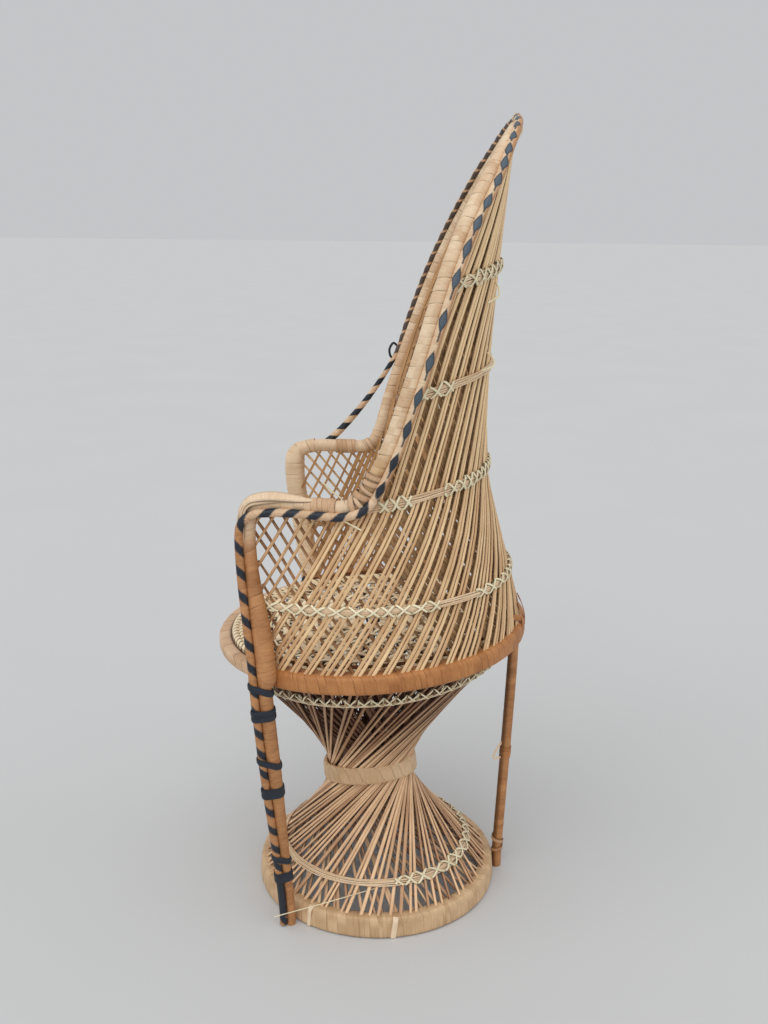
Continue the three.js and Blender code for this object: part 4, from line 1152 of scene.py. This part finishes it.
def twined(skin, path, normals, rng, pitch=0.0158, rise=0.0058, reeds=(-0.0030, -0.0009, 0.0012, 0.0031),
           closed=False, lashed=((0.0, 1.0),), lift=0.0, width=0.0023, reed=0.00095):
    """A row of reeds along a path, held by two strands that wind round it in opposite ways. In the front
    part of each pitch a strand crosses the row on a slant, in the rest it goes back behind the stakes;
    the two slants show as a line of crosses."""
    along = slopes(path, closed)
    across = unit(np.cross(normals, along))
    across = across * np.sign(across[:, 2:].mean() + 1e-9)
    run = arc_length(path)
    lay = np.array(reeds)[:, None]
    wave = 2 * np.pi * np.array([3.0, 7.0])[:, None, None] * run / run[-1]
    wander = np.sum(np.sin(wave + rng.uniform(0, 6, (2, len(lay), 1))) * REED_WANDER, axis=0)
    bundle = path + (lay + wander * np.sin(np.pi * run / run[-1]))[..., None] * across
    sweep_sections(skin, bundle, normals, round_section(reed, 6), closed=closed,
                   tone=rng.uniform(0.2, 0.9, len(lay)), pale=0.85)
    for start, stop in lashed:
        part = slice(int(start * (len(path) - 1)), int(stop * (len(path) - 1)) + 1)
        length, sideways, outwards = run[part], across[part], normals[part]
        uneven = np.sin(length * 90 + rng.uniform(0, 6)) * 0.10
        uneven = uneven + np.sin(length * 37 + rng.uniform(0, 6)) * 0.14
        step = (length / pitch + uneven + rng.random()) % 1
        in_front = step < FRONT_SHARE
        ahead, behind = step / FRONT_SHARE, (step - FRONT_SHARE) / (1 - FRONT_SHARE)
        angle = np.where(in_front, np.pi * (ahead - 0.5), np.pi * (behind + 0.5))
        slanted = np.where(in_front, lerp(2 * ahead - 1, np.sin(angle), 0.35), np.sin(angle))[:, None]
        out = np.cos(angle)[:, None]
        stand = STRAND_STAND + np.where(out > 0, STRAND_OUT, STRAND_IN) * out
        tall = rise * (1 + 0.16 * np.sin(length * 150 + rng.uniform(0, 6)))[:, None]
        for hand in (1, -1):
            strand = path[part] + sideways * (hand * slanted * tall + lift)
            strand = strand + outwards * (stand - CLEARANCE * hand)
            facing = unit(outwards + 0.5 * hand * slanted * sideways)
            sweep_sections(skin, strand, facing, flat_section(width, SPLIT_THICKNESS),
                           tone=rng.uniform(0.75, 1.1), seam=edge_shade(0.0, 0.16, 0.8))


def rope(skin, path, normal):
    """Two strands twisted round each other: each stands off the path by a fixed radius at an angle that
    grows with length."""
    across = unit(np.cross(normal, slopes(path, True)))
    run = arc_length(np.vstack([path, path[:1]]))
    turns = round(run[-1] / ROPE_PITCH)
    angle = 2 * np.pi * turns * run[:-1] / run[-1] + np.array([[0.0], [np.pi]])
    out = np.cos(angle)[..., None] * across + np.sin(angle)[..., None] * normal
    sweep_sections(skin, path + ROPE_RADIUS * out, out, flat_section(ROPE_WIDTH, ROPE_THICKNESS), closed=True,
                   tone=np.array([1.25, 1.05]), seam=edge_shade(0.0, 0.3, 0.95))


# Pedestal

def pedestal_stakes(layer, numbers):
    """Straight stakes from the base hoop to the seat hoop. Each touches the waist circle, so the sweep
    to either end is the arc cosine of the two radii. The two layers lean opposite ways."""
    lean = 1 if layer == 0 else -1
    inset = SLANTED_PITCH * layer
    low_sweep = np.degrees(np.arccos((WAIST_CIRCLE - inset) / (FOOT_CIRCLE - inset)))
    high_sweep = np.degrees(np.arccos((WAIST_CIRCLE - inset) / (HEAD_CIRCLE - inset)))
    start = 360 * (numbers + layer / 2) / PEDESTAL_STAKES
    foot = polar(FOOT_CIRCLE - inset, start, PEDESTAL_FOOT)
    neck = tilted(polar(WAIST_CIRCLE - inset, start + lean * low_sweep, 0.0), SEAT_TILT / 2, WAIST_SETBACK,
                  WAIST_HEIGHT)
    head = on_seat(HEAD_CIRCLE - inset, start + lean * (low_sweep + high_sweep), -SEAT_BAND / 2 + 0.001)
    return foot, neck, head


def outward_of(paths, along):
    """Directions square to the stakes that point away from the axis."""
    round_axis = np.stack([-paths[..., 1], paths[..., 0], 0 * paths[..., 0]], axis=-1)
    out = unit(np.cross(along, round_axis))
    return out * np.sign(dot(out, paths * (1, 1, 0)) + 1e-9)


def build_pedestal(rng):
    """Hourglass of two crossing layers of stakes; the inner ones are broader above the waist. Painted shade
    darkens the inner layer and the stakes under the seat.
    """
    for layer, name in enumerate(("outer", "inner")):
        numbers = np.arange(PEDESTAL_STAKES) + rng.uniform(-0.42, 0.42, PEDESTAL_STAKES)
        foot, neck, head = (p[:, None] for p in pedestal_stakes(layer, numbers))
        t = np.linspace(0, 1, 8)[:, None]
        paths = np.concatenate([lerp(foot, neck, t), lerp(neck, head, t[1:])], axis=1)
        paths += rng.normal(0, PEDESTAL_WANDER, (PEDESTAL_STAKES, 1, 3))
        height = paths[..., 2]
        normals = outward_of(paths, slopes(paths))
        across = unit(np.cross(normals, slopes(paths)))
        normals = unit(normals + across * rng.uniform(-0.3, 0.3, (PEDESTAL_STAKES, 1, 1)))
        width = rng.uniform(*PEDESTAL_STAKE_WIDTHS, (PEDESTAL_STAKES, 1))
        width = width * lerp(1.0, 1.5, layer * rising(height, WAIST_HEIGHT, 0.08))
        # Painted shade: the inner layer darker above its foot, and every stake darker under the seat.
        inside = layer * lerp(0.08, 0.75, rising(height, 0.03, 0.06))
        painted_shade = 0.58 * rising(height, WAIST_HEIGHT, 0.10) + inside
        skin = Skin()
        sweep_sections(skin, paths, normals, flat_section(width, STAKE_THICKNESS),
                       tone=rng.uniform(0.2, 0.95, PEDESTAL_STAKES),
                       seam=edge_shade(painted_shade, painted_shade + 0.5, painted_shade + 0.95))
        skin.piece(f"pedestal_{name}_canes", pedestal_cane, "stakes", [f"pedestal_{name}_stakes"])


def build_pedestal_rows(rng):
    """Twined rows round the pedestal: one low on it, one just under the seat."""
    numbers = np.linspace(0, PEDESTAL_STAKES, 360, endpoint=False)
    foot, neck, head = pedestal_stakes(0, numbers)
    lower = lerp(foot, neck, (LOWER_ROW_HEIGHT - PEDESTAL_FOOT) / (WAIST_HEIGHT - PEDESTAL_FOOT))
    upper = lerp(head, neck, UPPER_ROW_DROP / (head[:, 2:] - neck[:, 2:]))
    lower_weave = {"lashed": ((0.267, 0.80),), "rise": 0.0052, "reed": 0.00072,
                   "reeds": (-0.0032, -0.0016, 0.0, 0.0015, 0.0030)}
    upper_weave = {"pitch": 0.0125, "rise": 0.0064, "lift": 0.002, "width": 0.0015,
                   "reeds": (-0.0056, -0.0038)}
    for name, path, along, nodes, weave in (
            ("lower", lower, neck - foot, (), lower_weave),
            ("upper", upper, head - neck, ("pedestal_upper_row",), upper_weave)):
        normals = outward_of(path, unit(along))
        fine = np.linspace(0, len(path), 1800, endpoint=False)
        read = lambda rows: read_between(fine, np.arange(len(rows) + 1), np.vstack([rows, rows[:1]]))
        skin = Skin()
        twined(skin, read(path + normals * ROW_STAND), unit(read(normals)), rng, closed=True, **weave)
        skin.piece(f"pedestal_{name}_twining", reed_straw, "twined_reed", nodes)


# Seat

def build_seat(rng):
    """Round seat: radial strips, every other one short, flat rings woven over and under them by a cosine of
    the angle, and a rope border of two rounds."""
    skin = Skin()
    angle = np.arange(SEAT_STRIPS) * 360 / SEAT_STRIPS + rng.uniform(-1, 1, SEAT_STRIPS)
    inner = np.where(np.arange(SEAT_STRIPS) % 2 == 0, HUB_RADIUS, SHORT_STRIP_START)[:, None]
    radius = inner + (SEAT_INNER - inner) * np.linspace(0, 1, 6)
    paths = on_seat(radius, angle[:, None], SEAT_LEVEL)
    width = rng.uniform(*SEAT_STRIP_WIDTHS, (SEAT_STRIPS, 1))
    sweep_sections(skin, paths, SEAT_UP, flat_section(width, STAKE_THICKNESS),
                   tone=rng.uniform(0.2, 0.9, SEAT_STRIPS), seam=edge_shade(0.1, 0.6, 0.95))
    skin.piece("seat_radial_strips", seat_cane, "stakes", ["seat_spokes"])

    turn = np.linspace(0, 360, 4 * SEAT_STRIPS, endpoint=False)
    for number in (1, 2, 3):
        order = np.arange(RINGS_PER_PIECE)[:, None] + RINGS_PER_PIECE * (number - 1)
        radius = FIRST_RING + RING_SPACING * order + rng.uniform(-0.0008, 0.0008, (RINGS_PER_PIECE, 1))
        crossed = np.where(radius < SHORT_STRIP_START + 0.004, SEAT_STRIPS / 2, SEAT_STRIPS)
        wave = RING_WAVE * np.cos(np.radians(turn) * crossed / 2 + np.pi * order)
        skin = Skin()
        sweep_sections(skin, on_seat(radius, turn, SEAT_LEVEL + wave), SEAT_UP,
                       flat_section(RING_WIDTH, RING_THICKNESS), closed=True,
                       tone=rng.uniform(0.6, 1.1, RINGS_PER_PIECE), seam=edge_shade(0.0, 0.5, 0.95))
        skin.piece(f"seat_woven_rings_{number}", seat_cane, "twined_reed", [f"seat_weaver_{number}"])

    angle = np.linspace(0, 360, 1200, endpoint=False)
    skin = Skin()
    for radius, height in BORDER_ROUNDS:
        rope(skin, on_seat(radius, angle, SEAT_LEVEL + height), SEAT_UP)
    skin.piece("seat_border_rope", seat_cane, "twined_reed")


# Back

def rear_y(z):
    """Rear line of the weave: a parabola up to the narrow place, then a power curve to the peak."""
    below = (BACK_WAIST_HEIGHT - z) / (BACK_WAIST_HEIGHT - ARM_HEIGHT)
    above = np.clip((z - BACK_WAIST_HEIGHT) / (ARCH_PEAK - BACK_WAIST_HEIGHT), 0, 1)
    return np.where(z < BACK_WAIST_HEIGHT, lerp(BACK_WAIST_Y, ARM_REAR_Y, below**2),
                    lerp(BACK_WAIST_Y, rim_y(ARCH_PEAK), above**REAR_SWEEP))


def upper_circle(z):
    """Radius and centre of the circle through both rims and the rear line at a height."""
    sag = rear_y(z) - rim_y(z)
    radius = (rim_half(z) ** 2 + sag**2) / (2 * sag)
    return radius, rear_y(z) - radius


ARM_CIRCLE, ARM_CENTRE = (float(value) for value in upper_circle(np.array(ARM_HEIGHT)))
ARM_END_TURN = np.degrees(np.arctan2(ARM_END_X, ARM_END_Y - ARM_CENTRE))


def own_frame(points, centre):
    """Turn and radius of points in the weave's own frame: its racking taken off, about its centre."""
    x, y, _ = np.moveaxis(turned(points, -back_twist(points[:, 2])), -1, 0)
    return np.degrees(np.arctan2(x, y - centre)), np.hypot(x, y - centre)


def arm_edges():
    """Turns and radii of the arms and the rear arc at arm height, and turns of both posts by height."""
    turns, radii, posts = [], [], {}
    for side in (-1, 1):
        line = arm_line(side)
        corner = np.argmax(line[:, 2] > ARM_HEIGHT - 0.010)
        turn, radius = own_frame(np.vstack([line[corner:], arm_stations(side)["end"][None]]), ARM_CENTRE)
        turns.append(turn[::-side])
        radii.append(radius[::-side])
        post = line[np.argmax(line[:, 2] > SEAT_HEIGHT - 0.02): corner]
        share = (post[:, 2] - SEAT_HEIGHT) / (ARM_HEIGHT - SEAT_HEIGHT)
        posts[side] = post[:, 2], np.abs(own_frame(post, lerp(SEAT_SETBACK, ARM_CENTRE, share))[0])
    rear = np.linspace(-ARM_END_TURN + 1, ARM_END_TURN - 1, 30)
    return (np.concatenate([turns[0], rear, turns[1]]),
            np.concatenate([radii[0], np.full(len(rear), ARM_CIRCLE), radii[1]]), posts)


ARM_TURNS, ARM_RADII, POST_TURNS = arm_edges()


def arm_reach(turn):
    """Distance from the weave's axis to its edge at arm height, along the rear arc or the arm."""
    return np.interp(turn, ARM_TURNS, ARM_RADII)


def weave_point(turn, z, inset=0.0):
    """Point of the back weave. Up to the arms the radius runs from the seat hoop's to the arm line's in
    proportion to height; above them it lies on the circle through both rims and the rear line."""
    turn, z = np.broadcast_arrays(turn, z)
    edge = on_seat(SEAT_STAKE_CIRCLE, 180 - turn, 0.0)[..., 2]
    rise = (z - edge) / (ARM_HEIGHT - edge)
    radius, centre = upper_circle(np.maximum(z, ARM_HEIGHT))
    below = z < ARM_HEIGHT
    radius = np.where(below, lerp(SEAT_STAKE_CIRCLE, arm_reach(turn), rise), radius) - inset
    centre = np.where(below, lerp(SEAT_SETBACK, ARM_CENTRE, rise), centre)
    a = np.radians(turn)
    return turned(np.stack([radius * np.sin(a), centre + radius * np.cos(a), z], axis=-1), back_twist(z))


def weave_normal(turn, z):
    """Outward direction of the weave, from its slopes round and up."""
    around = weave_point(turn + 1, z) - weave_point(turn - 1, z)
    rise = weave_point(turn, np.minimum(z + 0.002, ARCH_PEAK - 0.001)) - weave_point(turn, z - 0.002)
    return unit(np.cross(rise, around))


def edge_turn(z, side):
    """Turn at which the weave meets the post or the rim on one side."""
    _, centre = upper_circle(np.maximum(z, ARM_HEIGHT))
    above = np.degrees(np.arctan2(rim_half(z), rim_y(z) - centre))
    return np.where(z < ARM_HEIGHT, np.interp(z, *POST_TURNS[side]), above)


def stake_sweep(z):
    """Turn that a stake has made since the seat: a full one per lay."""
    low = (np.minimum(z, ARM_HEIGHT) - SEAT_HEIGHT) / LOW_LAY
    return 360 * (low + np.maximum(0, z - ARM_HEIGHT) / HIGH_LAY)


def stake_ends(start, hand, inset):
    """Lowest and highest level at which each stake lies above the hoop and between the edges."""
    levels = np.linspace(SEAT_HEIGHT - SEAT_BAND, ARCH_PEAK - 0.002, 800)
    turn = hand * (start[:, None] - stake_sweep(levels))
    foot = on_seat(SEAT_STAKE_CIRCLE - inset, 180 - turn + POST_TWIST, STAKE_FOOT)[..., 2]
    inside = (levels >= foot) & (turn <= edge_turn(levels, 1)) & (turn >= -edge_turn(levels, -1))
    first = inside.argmax(axis=1)
    ended = ~inside & (np.arange(len(levels)) > first[:, None])
    last = np.where(ended.any(axis=1), ended.argmax(axis=1) - 1, len(levels) - 1)
    return levels[first], levels[last], inside.any(axis=1)


def build_back(rng):
    """Woven back: two layers of stakes that turn opposite ways as they rise. They go in pairs, apart from
    the short ones under the arms, which stand alone."""
    spread = 180 - POST_ANGLE
    shortest, alone_from, top_width = 0.02, 88, 1.75
    for layer, name in enumerate(("outer", "inner")):
        hand = 1 if layer == 0 else -1
        inset = LAYER_PITCH * layer
        numbers = np.arange(BACK_PAIRS) + 0.5 + rng.uniform(-0.14, 0.14, BACK_PAIRS)
        start = -spread + numbers * (2 * spread + stake_sweep(ARM_HEIGHT)) / BACK_PAIRS
        low, high, real = stake_ends(start, hand, inset)
        keep = real & (high - low > shortest)
        start, low, high = start[keep, None], low[keep, None], high[keep, None]
        z = lerp(low, high, np.linspace(0, 1, 20))
        turn = hand * (start - stake_sweep(z))
        paths = weave_point(turn, z, inset)
        normals = weave_normal(turn, z)
        across = unit(np.cross(normals, slopes(paths)))
        alone = (high < ARM_HEIGHT + 0.003) & (np.abs(turn[:, -1:]) > alone_from)
        # Painted shade on the stakes' edges and the inner layer's crown, fading towards the sides where the
        # weave is open.
        open_side = rising(np.abs(turn), 60, 30)
        crown = lerp(0.42 * layer, 0.0, open_side)
        shoulder = lerp(0.3 + 0.3 * layer, 0.2, open_side)
        under = lerp(0.1 if layer else 0.85, 0.1, open_side)
        darkening = edge_shade(crown, shoulder, under)
        lit = np.where(turn[:, -1:] < 0, 1.0, 0.5)
        bright = np.where(alone, lit, 1.0) * lerp(0.72, 1.22, rising(z, 0.36, 0.2))
        broad = np.where(alone, 0.8, 1 + 0.42 * layer)
        each = (len(start), 1)
        skin = Skin()
        for beside in (-1, 1):
            used = ~alone[:, 0] if beside > 0 else np.full(len(start), True)
            width = rng.uniform(*BACK_STAKE_WIDTHS, each) * broad
            width = width * lerp(1.0, top_width, rising(z, 0.54, 0.16))
            apart = np.where(alone, 0.0, width / 2 + rng.uniform(*PAIR_GAPS, each))
            strand = paths + across * (beside * apart)[..., None]
            strand = strand + normals * rng.normal(0, BACK_WANDER, (len(start), 1, 1))
            tone = rng.uniform(0.4, 1.0, each) * bright
            sweep_sections(skin, strand[used], normals[used], flat_section(width[used], STAKE_THICKNESS),
                           tone=tone[used], seam=darkening[used])
        # The inner layer takes the darker copy of the stake cane: painted shade.
        cane = shaded_inner_cane if layer else stake_cane
        skin.piece(f"back_{name}_canes", cane, "stakes", [f"back_{name}_stakes"])


def build_back_rows(rng):
    """Twined rows on the outer side of the back, from edge to edge, each sloping by its own amount."""
    for number, height, slope, lashed, weave in BACK_ROWS:
        turn = np.linspace(-float(edge_turn(height, -1)), float(edge_turn(height, 1)), 900)
        middle = float(rim_y(np.array(height)) + rear_y(np.array(height))) / 2
        z = height + slope * (weave_point(turn, np.full_like(turn, height))[:, 1] - middle)
        path = spaced(weave_point(turn, z, -ROW_STAND), 0.0008)
        shares = np.linspace(0, 1, len(path))
        normals = unit(read_between(shares, np.linspace(0, 1, len(turn)), weave_normal(turn, z)))
        skin = Skin()
        twined(skin, path, normals, rng, lashed=lashed, **weave)
        nodes = [f"back_row_{number}"] if number > 1 else []
        skin.piece(f"back_twining_{number}", reed_straw, "twined_reed", nodes)


# Loose ends

def strand_through(skin, points, normal, width, thickness=0.0009, **values):
    """A single strip along a smooth curve through points."""
    sweep_sections(skin, spaced(through(points), LINE_STEP), normal, flat_section(width, thickness), **values)


def build_loose_straws():
    """A straw sprung across the pedestal, loops beside the back's rows, and two straws near the right arm."""
    skin = Skin()
    strand_through(skin, [(0.128, -0.1047, 0.0245), (0.112, -0.040, 0.0345), (0.0925, 0.0322, 0.046)],
                   (1, 0, 0.3), 0.0009, 0.0008, tone=0.8)
    for turn, low, high, reach in ((24, 0.573, 0.588, 0.012), (20, 0.636, 0.653, 0.008)):
        levels = np.array([low, lerp(low, high, 0.35), lerp(low, high, 0.75), high])
        stand = -np.array([0.001, reach, reach * 0.7, 0.001])
        points = weave_point(np.linspace(turn, turn - 8, 4), levels, stand)
        strand_through(skin, points, (1, 0.4, 0), 0.0018, tone=0.9)
    strand_through(skin, [(0.128, -0.036, 0.464), (0.128, -0.045, 0.471), (0.128, -0.053, 0.479)],
                   (1, 0, 0.2), 0.0014, tone=0.8)
    strand_through(skin, [(0.143, -0.037, 0.449), (0.146, -0.028, 0.445), (0.147, -0.018, 0.440)],
                   (1, 0, 0.2), 0.0014, tone=0.6)
    skin.piece("loose_straw", reed_straw, "twined_reed")


def build_rod_loop():
    """A black loop that has come loose from the left rod near the arch."""
    rod, _ = rod_line(-1)
    knot = rod[np.argmax(rod[:, 2] > 0.562)]
    loop = np.array([(0.0, 0.0, -0.008), (0.001, -0.006, -0.003), (0.001, -0.0075, 0.005),
                     (0.0, -0.003, 0.012), (0.0, 0.001, 0.009)])
    skin = Skin()
    strand_through(skin, knot + loop, (1, 0, 0), 0.0026, black=1.0)
    skin.piece("left_rod_loop", stake_cane, "black_cane")


def build_torn_wraps():
    """Torn ends of the strips wound round the base hoop and the rear of the seat hoop."""
    skin = Skin()
    stand, levels = np.array([-0.002, 0.0008, 0.0008, 0.0002]), np.array([0.024, 0.021, 0.010, 0.001])
    for angle, width in ((98.1, 0.0055), (57.8, 0.0042)):
        leaning = angle + np.array([0.5, 0.2, -0.4, -0.8])
        strand_through(skin, polar(BASE_RADIUS + stand, leaning, levels), polar(1.0, angle, 0.0), width,
                       tone=1.0, pale=1.0)
    skin.piece("base_torn_wraps", base_cane, "hoop_cane")

    skin = Skin()
    inward = np.array([0.0, 0.0, 0.003, 0.007])
    for angle, rise, curl in ((163, 0.026, 3.0), (167, 0.019, -4.0), (171, 0.030, 2.0)):
        leaning = angle + curl * np.array([0, 0.4, 1.0, 2.0])
        levels = np.array([0.0, 0.010, 0.6 * rise + 0.004, rise])
        strand_through(skin, on_seat(SEAT_RADIUS - inward, leaning, levels), polar(1.0, angle, 0.0), 0.0052,
                       tone=0.35)
    skin.piece("seat_torn_wraps", hoop_cane, "hoop_cane")


# Studio

FLOOR_HALF = 30.0
FLOOR_COLOURS = ((0.63, 0.63, 0.625, 1), (0.66, 0.66, 0.655, 1))
SKY_COLOUR = (0.95, 0.97, 1.0, 1)
SKY_STRENGTH = 0.58
LAMPS = (("key", (1.3, -0.7, 1.9), 1.2), ("fill", (0.6, 1.6, 1.4), 0.3))
LAMP_ANGLE = 70

# Camera: focal length and picture height in pixels, its directions to the right and up, and its place
FOCAL_PIXELS = 1081.92
PICTURE_HEIGHT = 1024
CAMERA_RIGHT = np.array([0.007124, 0.999919, 0.010576])
CAMERA_UP = np.array([-0.264813, -0.008313, 0.964264])
CAMERA_PLACE = np.array([1.07934, -0.00704, 0.71312])


def placing(right, up, back, place):
    """Matrix that turns an object's axes to three directions and moves it to a place."""
    matrix = np.eye(4)
    matrix[:3, :4] = np.stack([right, up, back, place], axis=1)
    return Matrix(matrix.tolist())


def build_studio():
    """Pale floor, pale surroundings, soft light from above on the camera's side."""
    half = FLOOR_HALF
    mesh = bpy.data.meshes.new("floor")
    mesh.from_pydata([(-half, -half, 0), (half, -half, 0), (half, half, 0), (-half, half, 0)], [],
                     [(0, 1, 2, 3)])
    paint = Finish("floor_paint")
    coordinates = paint.node("ShaderNodeTexCoord").outputs["Object"]
    speckle = paint.noise(coordinates, 3.0)
    paint.link(paint.mix(speckle, *FLOOR_COLOURS), paint.shader.inputs["Base Color"])
    paint.shader.inputs["Roughness"].default_value = 0.85
    paint.shader.inputs["Specular IOR Level"].default_value = 0.0
    mesh.materials.append(paint.material)
    floor = put("floor", mesh)

    scene = bpy.context.scene
    scene.world = bpy.data.worlds.new("studio")
    scene.world.use_nodes = True
    background = scene.world.node_tree.nodes["Background"]
    background.inputs["Color"].default_value = SKY_COLOUR
    background.inputs["Strength"].default_value = SKY_STRENGTH
    for name, place, strength in LAMPS:
        lamp = bpy.data.lights.new(name, "SUN")
        lamp.angle = np.radians(LAMP_ANGLE)
        lamp.energy = strength
        back = unit(np.array(place))
        right = unit(np.cross((0, 0, 1), back))
        put(name, lamp).matrix_world = placing(right, np.cross(back, right), back, np.array(place))


def build_camera():
    """Camera from the chair's right side, a little above the arms."""
    data = bpy.data.cameras.new("camera")
    data.sensor_fit = "VERTICAL"
    data.sensor_height = 36.0
    data.lens = data.sensor_height * FOCAL_PIXELS / PICTURE_HEIGHT
    camera = put("camera", data)
    back = np.cross(CAMERA_RIGHT, CAMERA_UP)
    camera.matrix_world = placing(CAMERA_RIGHT, CAMERA_UP, back, CAMERA_PLACE + AXIS)
    bpy.context.scene.camera = camera


def build_chair():
    """Every piece of the chair. One row of random draws runs through them in this order."""
    rng = np.random.default_rng(7)
    build_base_hoop(rng)
    build_waist(rng)
    build_seat_hoop(rng)
    build_pedestal(rng)
    build_pedestal_rows(rng)
    build_seat(rng)
    for side, name in ((1, "right"), (-1, "left")):
        build_arm(side, name, rng)
        build_rod(side, name, rng)
        build_leg_bands(side, name, rng)
        build_joint(side, name, rng)
    build_corner_straps()
    build_left_post(rng)
    build_arch(rng)
    build_rear_leg(rng)
    build_back(rng)
    build_back_rows(rng)
    build_loose_straws()
    build_rod_loop()
    build_torn_wraps()


build_chair()
build_studio()
build_camera()
bpy.context.scene.view_settings.view_transform = "Standard"
